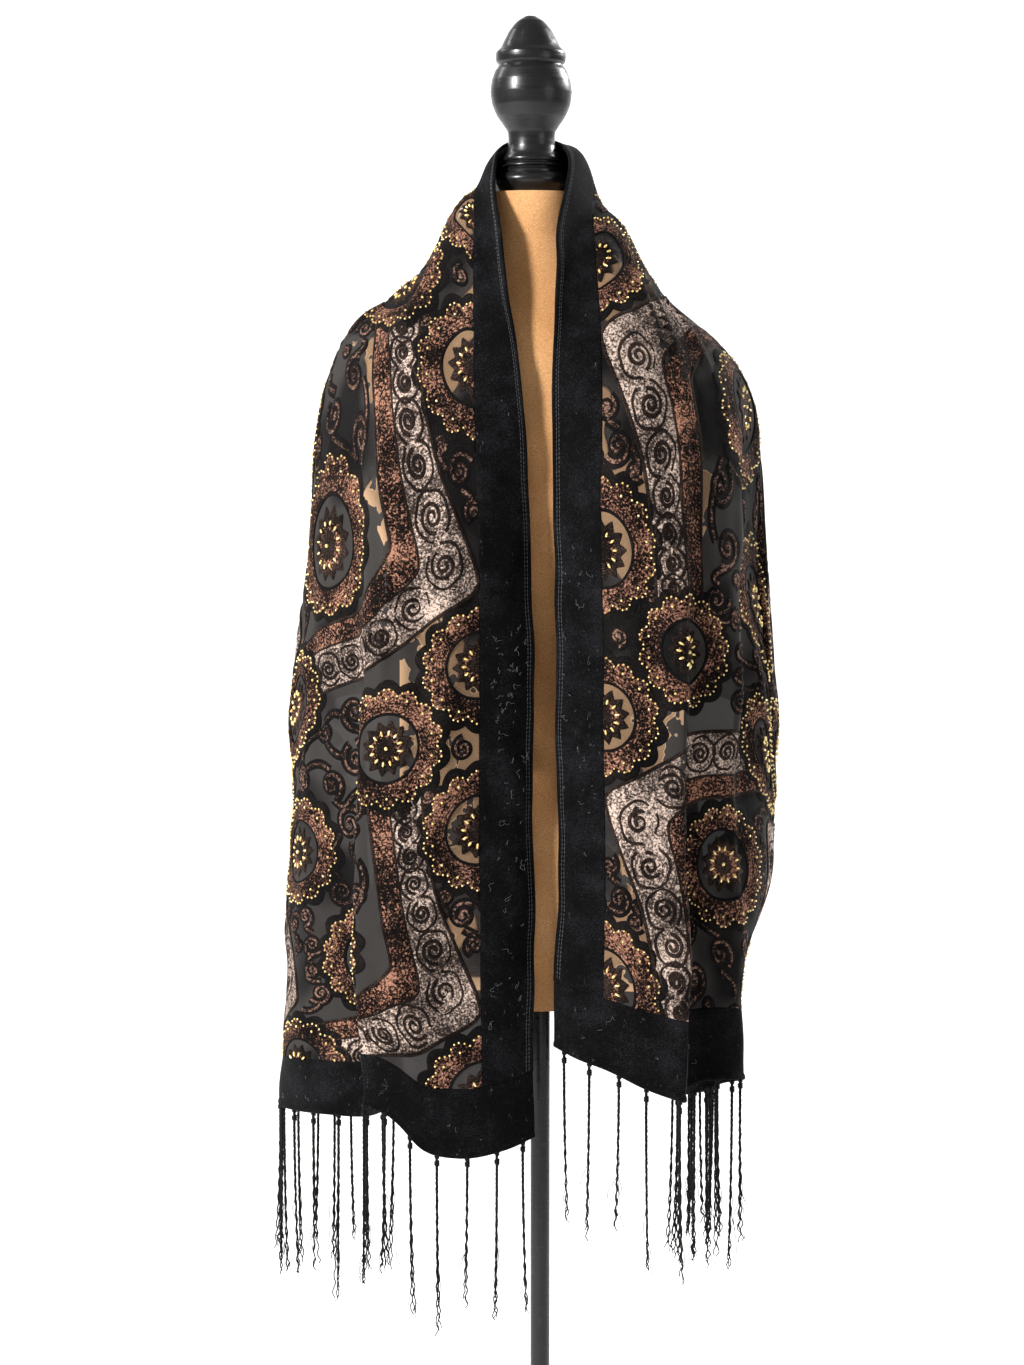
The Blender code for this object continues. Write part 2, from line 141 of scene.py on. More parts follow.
RIGHT_WAIST = (
    (0, 13, -109, 0), (30, 35, -126, 1), (52, 54, -134, 2), (95, 92, -142, 5), (128, 121, -141, 8),
    (148, 124, -122, 11), (175, 144, -112, 14), (210, 171, -96, 18), (230, 170, -76, 22),
    (256, 182, -58, 26), (297, 198, -34, 46), (340, 207, -16, 78), (400, 211, 26, 110),
    (470, 205, 74, 134), (520, 190, 96, 148), (560, 168, 112, 158),
)
RIGHT_LOW = (
    (0, 15, -109, 0), (30, 36, -126, 1), (52, 55, -134, 2), (95, 94, -143, 4), (127, 124, -142, 7),
    (150, 112, -122, 10), (172, 126, -106, 12), (217, 158, -98, 16), (240, 175, -84, 20),
    (272, 194, -60, 26), (310, 202, -28, 40), (350, 203, 2, 60), (400, 196, 40, 82),
    (470, 178, 80, 102), (520, 158, 92, 112), (560, 130, 98, 118),
)
RIGHT_HEM = (
    (0, 11, -110, 0), (30, 32, -126, 9), (52, 54, -132, 16), (95, 92, -140, 34), (130, 126, -138, 45),
    (150, 118, -116, 42), (172, 134, -98, 36), (217, 168, -86, 34), (234, 181, -76, 36),
    (260, 166, -56, 42), (300, 138, -42, 54), (330, 124, -20, 60), (370, 142, 8, 63),
    (410, 160, 30, 64), (470, 158, 72, 62), (520, 140, 90, 60), (560, 116, 88, 58),
)
FRONT_LINES = {
    # side: rows of (along, inner edge height, line)
    "left": (
        (0.430, 1.052, LEFT_CHEST),
        (0.560, 0.922, LEFT_WAIST),
        (0.710, 0.772, LEFT_LOW),
        (LEFT_LENGTH, 0.532, LEFT_HEM),
    ),
    "right": (
        (0.430, 1.052, RIGHT_CHEST),
        (0.555, 0.927, RIGHT_WAIST),
        (0.690, 0.792, RIGHT_LOW),
        (RIGHT_LENGTH, 0.612, RIGHT_HEM),
    ),
}
OUTWARD = {"left": -1.0, "right": 1.0}

# Fine creases and soft troughs on top of the large folds, each a straight run over the cloth.
CREASES = (
    # (start along, start across, end along, end across, half width, height)
    (0.190, 0.085, 0.330, 0.122, 0.0032, 0.0034),
    (0.185, 0.100, 0.360, 0.140, 0.0030, 0.0038),
    (0.205, 0.122, 0.330, 0.168, 0.0038, 0.0032),
    (0.230, 0.060, 0.420, 0.112, 0.0140, 0.0036),
    (0.170, 0.150, 0.290, 0.200, 0.0090, -0.0034),
    (0.130, 0.070, 0.210, 0.170, 0.0100, 0.0034),
    (-0.200, 0.084, -0.330, 0.150, 0.0080, 0.0038),
    (-0.190, 0.120, -0.290, 0.215, 0.0060, 0.0038),
    (-0.170, 0.150, -0.260, 0.260, 0.0085, -0.0034),
    (-0.120, 0.070, -0.200, 0.150, 0.0100, 0.0036),
    (-0.230, 0.062, -0.400, 0.092, 0.0150, -0.0034),
    (-0.330, 0.070, -0.640, 0.085, 0.0130, 0.0034),
    (-0.440, 0.100, -0.730, 0.118, 0.0110, -0.0036),
    (-0.560, 0.118, -0.860, 0.134, 0.0090, 0.0030),
    (-0.700, 0.070, -0.890, 0.086, 0.0140, -0.0034),
    (-0.520, 0.225, -0.900, 0.232, 0.0120, 0.0030),
    (-0.420, 0.245, -0.700, 0.262, 0.0120, -0.0028),
    (0.330, 0.072, 0.580, 0.084, 0.0130, 0.0034),
    (0.400, 0.092, 0.660, 0.106, 0.0090, -0.0036),
    (0.520, 0.064, 0.800, 0.080, 0.0140, 0.0032),
    (0.620, 0.094, 0.850, 0.112, 0.0085, -0.0030),
    (0.600, 0.190, 0.860, 0.196, 0.0100, 0.0026),
    (0.420, 0.270, 0.640, 0.290, 0.0140, 0.0028),
    (0.380, 0.200, 0.520, 0.212, 0.0080, 0.0028),
    (-0.120, 0.060, -0.150, 0.330, 0.0120, 0.0026),
    (0.080, 0.070, 0.090, 0.300, 0.0110, 0.0024),
    (-0.050, 0.090, -0.060, 0.260, 0.0140, -0.0024),
    (0.145, 0.240, 0.150, 0.540, 0.0120, -0.0028),
    (-0.200, 0.300, -0.205, 0.550, 0.0120, -0.0028),
    (-0.060, 0.300, -0.062, 0.550, 0.0100, 0.0026),
    (0.010, 0.280, 0.012, 0.550, 0.0110, -0.0024),
    (0.210, 0.260, 0.225, 0.520, 0.0130, 0.0030),
    (0.500, 0.360, 0.700, 0.430, 0.0160, 0.0028),
    (-0.520, 0.360, -0.760, 0.440, 0.0160, 0.0028),
    (-0.380, 0.300, -0.560, 0.340, 0.0120, 0.0030),
    (0.360, 0.300, 0.540, 0.350, 0.0120, -0.0028),
    (0.300, 0.129, 0.620, 0.130, 0.0050, 0.0034),
    (0.560, 0.128, 0.866, 0.130, 0.0050, 0.0034),
    (0.370, 0.197, 0.570, 0.213, 0.0050, 0.0034),
    (0.530, 0.210, 0.760, 0.238, 0.0050, 0.0034),
    (-0.340, 0.138, -0.570, 0.142, 0.0050, 0.0030),
    (-0.300, 0.020, -0.440, 0.034, 0.0100, -0.0018),
    (-0.560, 0.030, -0.760, 0.018, 0.0120, 0.0016),
    (0.330, 0.022, 0.480, 0.036, 0.0100, -0.0018),
    (0.560, 0.034, 0.760, 0.020, 0.0120, 0.0016),
)
WAVES = (
    # (along waves a metre, across waves a metre, phase, height)
    (5.1, 2.2, 0.4, 0.0012),
    (-3.7, 6.3, 1.9, 0.0010),
    (9.8, 3.1, 2.6, 0.0006),
    (2.3, 11.7, 4.0, 0.0006),
    (17.0, -9.0, 0.9, 0.0003),
    (-13.0, 19.0, 3.3, 0.0003),
)

# How far a crease bows off its straight run, as a share of its half width.
CREASE_BOW = 0.35

# The slack of the outer edge, taken up in small uneven ripples down both fronts. They start at these
# places across and along, and reach their full height over the two growths.
RIPPLE_START = 0.400
RIPPLE_GROWTH = 0.120
RIPPLE_START_ALONG = 0.33
RIPPLE_GROWTH_ALONG = 0.10
RIPPLE_LENGTH = 0.052
RIPPLE_HEIGHT = 0.0086
RIPPLE_SWELL = 0.40

# What lies on the cloth: the pile's height, the size of a bead and the share of its radius that its
# middle stands above its seat, the length over which a heading is read, the share of a ribbon's width
# that is its crest, and the step of the grids.
PILE = 0.0009
BEAD_RADIUS = 0.00098
BEAD_SEAT = 0.55
NEAR = 0.0015
RIBBON_CREST = 0.45
CLOTH_STEP = 0.0036

# The repeat of the pattern: where its corners lie along the inner border, and its size.
REPEAT_ALONG = 0.3695
REPEAT_ACROSS = 0.245
CORNERS_ALONG = tuple(-0.831 + REPEAT_ALONG * i for i in range(6))
FIRST_ROW = LONG_BORDER
ROWS_ACROSS = (FIRST_ROW - REPEAT_ACROSS, FIRST_ROW, FIRST_ROW + REPEAT_ACROSS)


# Cloth surface

def unit(vectors):
    return vectors / np.maximum(np.linalg.norm(vectors, axis=-1, keepdims=True), 1e-9)


def curve_through(knots, values, at):
    """A smooth curve through the values at the knots, read at the given places."""
    knots = np.asarray(knots, float)
    values = np.asarray(values, float)
    at = np.clip(np.asarray(at, float), knots[0], knots[-1])
    slopes = np.gradient(values, knots, axis=0)
    low = np.clip(np.searchsorted(knots, at, side="right") - 1, 0, len(knots) - 2)
    span = knots[low + 1] - knots[low]
    t = ((at - knots[low]) / span)[:, None]
    values = values.reshape(len(knots), -1)
    slopes = slopes.reshape(len(knots), -1)
    start = values[low] * (2 * t**3 - 3 * t**2 + 1) + slopes[low] * (t**3 - 2 * t**2 + t) * span[:, None]
    end = values[low + 1] * (3 * t**2 - 2 * t**3) + slopes[low + 1] * (t**3 - t**2) * span[:, None]
    return start + end


def drape_height(x, y):
    reach = np.hypot((x - DRAPE_CENTRE_X) / DRAPE_HALF_WIDTH, y / DRAPE_HALF_DEPTH)
    shares, heights = zip(*DRAPE_PROFILE)
    return curve_through(shares, heights, reach)[:, 0]


def shoulder_line(side, row, across):
    """A line across the shawl that lies over the shoulder and then falls, read at lengths across."""
    outward = OUTWARD[side]
    along, bend_x, bend_y, end_x, end_y, flare = row
    edge = next(entry for entry in INNER_EDGE if entry[0] == along)
    start = np.array([edge[1] if side == "left" else edge[2], edge[3]])
    bend = np.array([bend_x * outward, bend_y])
    end = np.array([end_x * outward, end_y])
    t = np.linspace(0, 1, PLAN_POINTS)[:, None]
    plan = start * (1 - t) ** 2 + 2 * bend * t * (1 - t) + end * t**2
    height = drape_height(plan[:, 0], plan[:, 1])
    run = np.hypot(*(plan - start).T)
    height = height + (edge[4] - height[0]) * np.clip(1 - run / COLLAR_BLEND, 0, 1) ** 2
    fall = np.linspace(FALL_START, CLOTH_WIDTH, FALL_POINTS)
    away = end / np.hypot(*end)
    tail_plan = end + away * (FALL_START + flare * fall[:, None])
    tail = np.column_stack([tail_plan, height[-1] - fall])
    points = np.vstack([np.column_stack([plan, height]), tail])
    for _ in range(SHOULDER_SMOOTHING):
        points[1:-1] = (points[:-2] + 2 * points[1:-1] + points[2:]) / 4
    lengths = np.concatenate([[0], np.cumsum(np.linalg.norm(np.diff(points, axis=0), axis=1))])
    return np.column_stack([np.interp(across, lengths, points[:, axis]) for axis in range(3)])


def front_line(side, height, rows, across):
    """A line across a hanging front, through its named folds."""
    table = np.array(rows, float) * MM
    found = curve_through(table[:, 0], table[:, 1:], across)
    return np.column_stack([OUTWARD[side] * found[:, 0], found[:, 1], height - found[:, 2]])


def cloth_points(along, across):
    """Points of the cloth's middle surface for signed lengths along and lengths across."""
    lines = {}
    for side, outward in OUTWARD.items():
        for row in SHOULDER_FALLS:
            lines[outward * row[0]] = shoulder_line(side, row, across)
        for place, height, rows in FRONT_LINES[side]:
            lines[outward * place] = front_line(side, height, rows, across)
    places = sorted(lines)
    stack = np.array([lines[place] for place in places])
    flat = curve_through(places, stack.reshape(len(places), -1), along)
    return flat.reshape(len(flat), len(across), 3)


def surface_normals(points):
    """Unit normals of a grid of points, pointing in towards the form."""
    return unit(np.cross(np.gradient(points, axis=1), np.gradient(points, axis=0)))


def back_fold_heights(along, across):
    lift = np.zeros((len(along), len(across)))
    for place, half_width, depth, start in BACK_FOLDS:
        rise = np.exp(-(((along - place) / half_width) ** 2))
        grown = np.clip((across - start) / FOLD_GROWTH, 0, 1)
        lift += depth * rise[:, None] * (grown * grown * (3 - 2 * grown))[None, :]
    return lift


def crease_heights(along, across):
    """Fine creases and a slight unevenness all over, as heights over a grid of places."""
    s, v = np.meshgrid(along, across, indexing="ij")
    lift = np.zeros(s.shape)
    for s0, v0, s1, v1, half_width, height in CREASES:
        run = np.array([s1 - s0, v1 - v0])
        length = np.hypot(*run)
        share = ((s - s0) * run[0] + (v - v0) * run[1]) / length**2
        inside = np.clip(share, 0, 1)
        bow = CREASE_BOW * half_width * np.sin(inside * math.pi * 3)
        away = ((v - v0) * run[0] - (s - s0) * run[1]) / length + bow
        fade = np.clip(np.minimum(share + 0.15, 1.15 - share) / 0.45, 0, 1)
        lift += height * np.exp(-((away / half_width) ** 2)) * fade**2 * (3 - 2 * fade)
    for along_waves, across_waves, phase, height in WAVES:
        lift += height * np.sin(2 * math.pi * (along_waves * s + across_waves * v) + phase)
    slack = np.clip((v - RIPPLE_START) / RIPPLE_GROWTH, 0, 1)
    slack = slack * np.clip((np.abs(s) - RIPPLE_START_ALONG) / RIPPLE_GROWTH_ALONG, 0, 1)
    uneven = 2.4 * np.sin(s * 17.0 + 0.6) + 1.5 * np.sin(s * 43.0 + v * 14.0) - 6.0 * (v - 0.5)
    swell = 1 + RIPPLE_SWELL * np.sin(s * 29.0 + 1.3)
    lift += RIPPLE_HEIGHT * swell * slack**1.5 * np.sin(2 * math.pi * s / RIPPLE_LENGTH + uneven)
    return lift


def divisions(start, end, step=CLOTH_STEP):
    return np.linspace(start, end, max(1, round((end - start) / step)) + 1)


def joined(*runs):
    return np.unique(np.round(np.concatenate(runs), 7))


class Cloth:
    """The whole draped cloth as a fine grid, read at any place along and across."""

    def __init__(self):
        self.along = joined(
            divisions(-LEFT_LENGTH, LEFT_SEAM),
            divisions(LEFT_SEAM, RIGHT_SEAM),
            divisions(RIGHT_SEAM, RIGHT_LENGTH),
        )
        self.across = joined(
            divisions(0.0, LONG_BORDER),
            divisions(LONG_BORDER, OUTER_SEAM),
            divisions(OUTER_SEAM, CLOTH_WIDTH),
        )
        points = cloth_points(self.along, self.across)
        folds = back_fold_heights(self.along, self.across)
        points = points + surface_normals(points) * folds[:, :, None]
        for _ in range(FOLD_SMOOTHING):
            points[:, 1:-1] = (points[:, :-2] + 2 * points[:, 1:-1] + points[:, 2:]) / 4
        creases = crease_heights(self.along, self.across)
        self.points = points - surface_normals(points) * creases[:, :, None]
        self.normals = -surface_normals(self.points)

    def at(self, along, across, lift=0.0):
        """Points lifted off the cloth at equal-shaped arrays of places."""
        along = np.clip(along, self.along[0], self.along[-1])
        across = np.clip(across, self.across[0], self.across[-1])
        i = np.clip(np.searchsorted(self.along, along) - 1, 0, len(self.along) - 2)
        j = np.clip(np.searchsorted(self.across, across) - 1, 0, len(self.across) - 2)
        a = ((along - self.along[i]) / (self.along[i + 1] - self.along[i]))[..., None]
        b = ((across - self.across[j]) / (self.across[j + 1] - self.across[j]))[..., None]

        def blend(grid):
            low = grid[i, j] * (1 - b) + grid[i, j + 1] * b
            high = grid[i + 1, j] * (1 - b) + grid[i + 1, j + 1] * b
            return low * (1 - a) + high * a

        return blend(self.points) + unit(blend(self.normals)) * np.broadcast_to(lift, along.shape)[..., None]


cloth = Cloth()


# Meshes

class Pieces:
    """Gathers grids of points into one mesh, with the places on the cloth kept as its UV map."""

    def __init__(self, limits=None):
        self.points = []
        self.places = []
        self.faces = []
        self.count = 0
        self.limits = limits

    def add(self, points, places, faces):
        self.points.append(points)
        self.places.append(places)
        self.faces.append(faces + self.count)
        self.count += len(points)

    def grid(self, along, across, lift, wrap=False):
        """A grid laid on the cloth, cut off at the limits along and across."""
        keep = np.ones(along.shape, bool)
        if self.limits:
            (a0, a1), (c0, c1) = self.limits
            keep = (along >= a0) & (along <= a1) & (across >= c0) & (across <= c1)
            along = np.clip(along, a0, a1)
            across = np.clip(across, c0, c1)
        faces = grid_faces(*along.shape, wrap)
        faces = faces[keep.ravel()[faces].any(axis=1)]
        if len(faces) == 0:
            return
        used, faces = np.unique(faces, return_inverse=True)
        places = np.column_stack([along.ravel(), across.ravel()])[used]
        points = cloth.at(along, across, lift).reshape(-1, 3)[used]
        self.add(points, places, faces.reshape(-1, 4))

    def build(self, name, finish, slot):
        points = np.concatenate(self.points)
        places = np.concatenate(self.places)
        faces = np.concatenate(self.faces)
        return mesh_piece(name, points, faces, finish, places)


def grid_faces(rows, columns, wrap=False):
    index = np.arange(rows * columns).reshape(rows, columns)
    right = np.roll(index, -1, axis=1)
    if not wrap:
        index, right = index[:, :-1], right[:, :-1]
    return np.stack([index[:-1], right[:-1], right[1:], index[1:]], axis=-1).reshape(-1, 4)


def around(count, offset=0.0):
    """Even angles all the way round, moved on by a share of a step."""
    return 2 * math.pi * (np.arange(count) + offset) / count


def mesh_piece(name, points, faces, finish, places=None):
    """Makes one object that rides on the part's body."""
    mesh = bpy.data.meshes.new(name)
    mesh.from_pydata(points.tolist(), [], faces.tolist())
    if places is not None:
        corners = np.empty(len(mesh.loops), np.int32)
        mesh.loops.foreach_get("vertex_index", corners)
        layer = mesh.uv_layers.new(name="cloth")
        layer.data.foreach_set("uv", places[corners].astype(np.float32).ravel())
    mesh.shade_smooth()
    mesh.materials.append(finish)
    piece = bpy.data.objects.new(name, mesh)
    bpy.context.scene.collection.objects.link(piece)
    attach(piece, BODY)
    return piece


def ribbon(bag, along, across, width, lift, low=0.0001):
    """A soft raised line along a path on the cloth, its edges sunk to the cloth."""
    path = np.column_stack([along, across])
    way = unit(np.gradient(path, axis=0))
    side = np.column_stack([-way[:, 1], way[:, 0]])
    half = np.broadcast_to(np.asarray(width) / 2, len(path))[:, None]
    shares = np.array([-1.0, -RIBBON_CREST, RIBBON_CREST, 1.0])
    heights = np.array([low, lift, lift, low])
    a = path[:, 0:1] + side[:, 0:1] * half * shares
    c = path[:, 1:2] + side[:, 1:2] * half * shares
    bag.grid(a, c, np.broadcast_to(heights, a.shape))


def sphere_template(turns=6, rings=4):
    """Points and four-cornered faces of a small unit sphere, poles included."""
    points = []
    for i in range(rings + 1):
        polar = math.pi * i / rings
        for j in range(turns):
            a = 2 * math.pi * j / turns
            points.append((math.cos(polar), math.sin(polar) * math.cos(a), math.sin(polar) * math.sin(a)))
    return np.array(points), grid_faces(rings + 1, turns, wrap=True)


BEAD_POINTS, BEAD_FACES = sphere_template()


def add_beads(bag, along, across, radius=BEAD_RADIUS, stretch=1.0, heading=None, lift=PILE):
    """Beads laid on the cloth, drawn out by stretch along a heading on the cloth."""
    along = np.asarray(along, float)
    across = np.asarray(across, float)
    (a0, a1), (c0, c1) = bag.limits
    inside = (along > a0) & (along < a1) & (across > c0 + radius) & (across < c1 - radius)
    if not inside.any():
        return
    along, across = along[inside], across[inside]
    heading = np.zeros(len(along)) if heading is None else np.asarray(heading, float)[inside]
    seat = lift + radius * BEAD_SEAT
    centre = cloth.at(along, across, seat)
    ahead = cloth.at(along + NEAR * np.cos(heading), across + NEAR * np.sin(heading), seat)
    first = unit(ahead - centre)
    up = unit(cloth.at(along, across, lift + 2 * MM) - cloth.at(along, across, lift))
    side = unit(np.cross(up, first))
    up = np.cross(first, side)
    local = BEAD_POINTS * radius * np.array([stretch, 1.0, 1.0])
    points = (
        centre[:, None, :]
        + local[None, :, 0:1] * first[:, None, :]
        + local[None, :, 1:2] * side[:, None, :]
        + local[None, :, 2:3] * up[:, None, :]
    )
    count = len(BEAD_POINTS)
    faces = BEAD_FACES[None] + (np.arange(len(centre)) * count)[:, None, None]
    places = np.repeat(np.column_stack([along, across]), count, axis=0)
    bag.add(points.reshape(-1, 3), places, faces.reshape(-1, 4))


# Materials

def new_material(name):
    made = bpy.data.materials.new(name)
    made.use_nodes = True
    return made, made.node_tree, made.node_tree.nodes["Principled BSDF"]


def node(tree, kind, **inputs):
    """A shader node with its inputs set, or linked where a socket is given; _ is written for a space."""
    made = tree.nodes.new(kind)
    for key, value in inputs.items():
        socket = made.inputs[int(key[1:])] if key[1:].isdigit() else made.inputs[key.replace("_", " ")]
        if isinstance(value, bpy.types.NodeSocket):
            tree.links.new(value, socket)
        else:
            socket.default_value = value
    return made


def math_node(tree, operation, first, second=0.0, clamp=False):
    made = node(tree, "ShaderNodeMath", i0=first, i1=second)
    made.operation = operation
    made.use_clamp = clamp
    return made.outputs[0]


def mixture(tree, first, first_share, second, second_share):
    """The sum of two values, each times its share."""
    first = math_node(tree, "MULTIPLY", first, first_share)
    second = math_node(tree, "MULTIPLY", second, second_share)
    return math_node(tree, "ADD", first, second)


def colour_mix(tree, kind, first, second):
    made = node(tree, "ShaderNodeMix")
    made.data_type = "RGBA"
    made.blend_type = kind
    made.inputs["Factor"].default_value = 1.0
    tree.links.new(first, made.inputs["A"])
    tree.links.new(second, made.inputs["B"])
    return made.outputs["Result"]


def share_between(tree, value, first, last, top=1.0):
    """Nought up to first, top from last on, and evenly between them."""
    return node(tree, "ShaderNodeMapRange", Value=value, From_Min=first, From_Max=last, To_Max=top).outputs[0]


def noise(tree, scale, detail, roughness, place):
    made = node(tree, "ShaderNodeTexNoise", Scale=scale, Detail=detail, Roughness=roughness, Vector=place)
    return made.outputs["Fac"]


def grey(value):
    return (value, value, value)


def ramp(tree, factor, stops):
    """A colour ramp through (place, colour) stops."""
    made = tree.nodes.new("ShaderNodeValToRGB")
    elements = made.color_ramp.elements
    while len(elements) < len(stops):
        elements.new(0.5)
    for element, (place, colour) in zip(elements, stops):
        element.position = place
        element.color = (*colour, 1.0)
    tree.links.new(factor, made.inputs["Fac"])
    return made.outputs["Color"]


def object_place(tree):
    return tree.nodes.new("ShaderNodeTexCoord").outputs["Object"]


def cloth_place(tree):
    return tree.nodes.new("ShaderNodeTexCoord").outputs["UV"]


def stretched(tree, vector, scale):
    return node(tree, "ShaderNodeMapping", Scale=scale, Vector=vector).outputs["Vector"]


def finish_values(shader, **values):
    """Sets uniform values on the shader's own sockets; _ is written for a space."""
    for name, value in values.items():
        shader.inputs[name.replace("_", " ")].default_value = value


def bump(tree, shader, height, strength, distance):
    made = node(tree, "ShaderNodeBump", Height=height, Strength=strength, Distance=distance)
    tree.links.new(made.outputs["Normal"], shader.inputs["Normal"])


def velvet(name, painted_pile_shade, body, painted_pile_glint, sheen, sheen_weight, glint_speck_scale=900.0, lint=0.0):
    """Pile whose tone differs at random, with painted light on top: bright specks are painted glints, crushed
    patches are painted sheen, and its dark depths are painted shade.
    """
    made, tree, shader = new_material(name)
    place = object_place(tree)
    patch = noise(tree, 24.0, 4.0, 0.65, place)
    specks = noise(tree, glint_speck_scale, 2.0, 0.75, place)
    mixed = mixture(tree, patch, 0.40, specks, 0.60)
    # Painted light and shade: the ramp runs from painted shade in the pile, through the pile's own colour, to
    # painted glints.
    colour = ramp(tree, mixed, ((0.44, painted_pile_shade), (0.51, body), (0.60, painted_pile_glint)))
    if lint:
        fibres = noise(tree, 260.0, 4.0, 0.75, stretched(tree, place, (1.0, 1.0, 0.35)))
        caught = ramp(tree, fibres, ((0.66, grey(0.0)), (0.76, (lint, lint, lint * 1.08))))
        colour = colour_mix(tree, "ADD", colour, caught)
    tree.links.new(colour, shader.inputs["Base Color"])
    finish_values(shader, Roughness=0.92, Specular_IOR_Level=0.08)
    finish_values(shader, Sheen_Weight=sheen_weight, Sheen_Roughness=0.35, Sheen_Tint=(*sheen, 1.0))
    bump(tree, shader, specks, 0.55, 0.0008)
    return made


# The dress form behind the sheer ground: where its sides and its foot end, each as a start and an end
# of the change, and how much wider it is at the chest than at the waist. The edge is uneven by a share
# of the noise, and comes in by no more than EDGE_INWARD.
FORM_SIDES = (0.095, 0.118)
FORM_FOOT = (0.700, 0.665)
CHEST_HEIGHTS = (1.02, 1.12)
CHEST_GROWTH = 0.045
EDGE_UNEVEN = 0.40
EDGE_INWARD = -0.004
OFF_FORM_COVER = 0.985
# Keeps the painted tan of the lit form off the gauze where the form is not behind it.
PAINTED_TAN_LIMIT = 1.52


def sheer_chiffon():
    """Dark gauze whose threads show. It is more open in patches over the form. Its colour holds painted light
    and shade: darker patches are painted shade, and over the form the tan of the lit form behind is painted
    in.
    """
    made, tree, shader = new_material("sheer_chiffon")
    place = cloth_place(tree)
    waves = []
    for direction in ("Y", "X"):
        wave = node(tree, "ShaderNodeTexWave", Scale=420.0, Distortion=1.2, Detail=2.0)
        wave.bands_direction = direction
        tree.links.new(place, wave.inputs["Vector"])
        waves.append(wave.outputs["Fac"])
    threads = math_node(tree, "MULTIPLY", math_node(tree, "ADD", *waves), 0.5)
    patch = noise(tree, 11.0, 1.5, 0.5, object_place(tree))
    finish_values(shader, Roughness=0.80, Specular_IOR_Level=0.04, Sheen_Weight=0.04, Sheen_Roughness=0.5)
    cover = ramp(tree, patch, ((0.47, grey(0.93)), (0.51, grey(0.80)), (0.525, grey(0.45))))
    position = node(tree, "ShaderNodeSeparateXYZ", i0=object_place(tree)).outputs
    chest = share_between(tree, position["Z"], *CHEST_HEIGHTS, CHEST_GROWTH)
    apart = math_node(tree, "SUBTRACT", math_node(tree, "ABSOLUTE", position["X"]), chest)
    spread = math_node(tree, "SUBTRACT", noise(tree, 48.0, 2.0, 0.6, object_place(tree)), 0.5)
    uneven = math_node(tree, "MULTIPLY", spread, EDGE_UNEVEN)
    apart = math_node(tree, "ADD", apart, math_node(tree, "MAXIMUM", uneven, EDGE_INWARD))
    beside = share_between(tree, apart, *FORM_SIDES)
    below = share_between(tree, position["Z"], *FORM_FOOT)
    off_form = math_node(tree, "MAXIMUM", beside, below)
    dense = math_node(tree, "MAXIMUM", cover, math_node(tree, "MULTIPLY", off_form, OFF_FORM_COVER))
    ribbing = math_node(tree, "MULTIPLY", math_node(tree, "SUBTRACT", threads, 0.5), 0.03)
    tree.links.new(math_node(tree, "ADD", dense, ribbing), shader.inputs["Alpha"])
    # Painted light and shade: the patch noise picks painted shade, the gauze's own grey, or the painted tan
    # of the lit form behind.
    painted_light_patch = math_node(tree, "MINIMUM", patch, math_node(tree, "SUBTRACT", PAINTED_TAN_LIMIT, off_form))
    painted_light_tones = (
        (0.40, (0.006, 0.0055, 0.0053)),
        (0.47, (0.022, 0.020, 0.019)),
        (0.525, (0.040, 0.036, 0.034)),
        (0.535, (0.46, 0.29, 0.17)),
    )
    thread_shade = ramp(tree, threads, ((0.2, grey(0.55)), (0.8, grey(1.0))))
    colour = colour_mix(tree, "MULTIPLY", ramp(tree, painted_light_patch, painted_light_tones), thread_shade)
    tree.links.new(colour, shader.inputs["Base Color"])
    bump(tree, shader, threads, 0.2, 0.0003)
    return made


def gold_glass():
    made, tree, shader = new_material("gold_glass_bead")
    tone = noise(tree, 700.0, 1.0, 0.5, object_place(tree))
    golds = ((0.35, (0.72, 0.42, 0.10)), (0.5, (0.95, 0.70, 0.24)), (0.65, (1.0, 0.86, 0.46)))
    tree.links.new(ramp(tree, tone, golds), shader.inputs["Base Color"])
    finish_values(shader, Metallic=0.35, Roughness=0.16, Coat_Weight=0.6, Coat_Roughness=0.05)
    return made


def tan_suede():
    """Napped cover of the form: fine fuzz, with slow changes where the nap is brushed."""
    made, tree, shader = new_material("tan_suede_nap")
    place = object_place(tree)
    fuzz = noise(tree, 1100.0, 3.0, 0.7, place)
    nap = noise(tree, 9.0, 3.0, 0.55, place)
    tans = ((0.36, (0.31, 0.138, 0.046)), (0.5, (0.48, 0.236, 0.092)), (0.64, (0.68, 0.39, 0.18)))
    colour = ramp(tree, mixture(tree, fuzz, 0.6, nap, 0.4), tans)
    tree.links.new(colour, shader.inputs["Base Color"])
    finish_values(shader, Roughness=0.9, Specular_IOR_Level=0.15)
    finish_values(shader, Sheen_Weight=0.35, Sheen_Roughness=0.45, Sheen_Tint=(1.0, 0.80, 0.58, 1.0))
    bump(tree, shader, fuzz, 0.5, 0.0009)
    return made


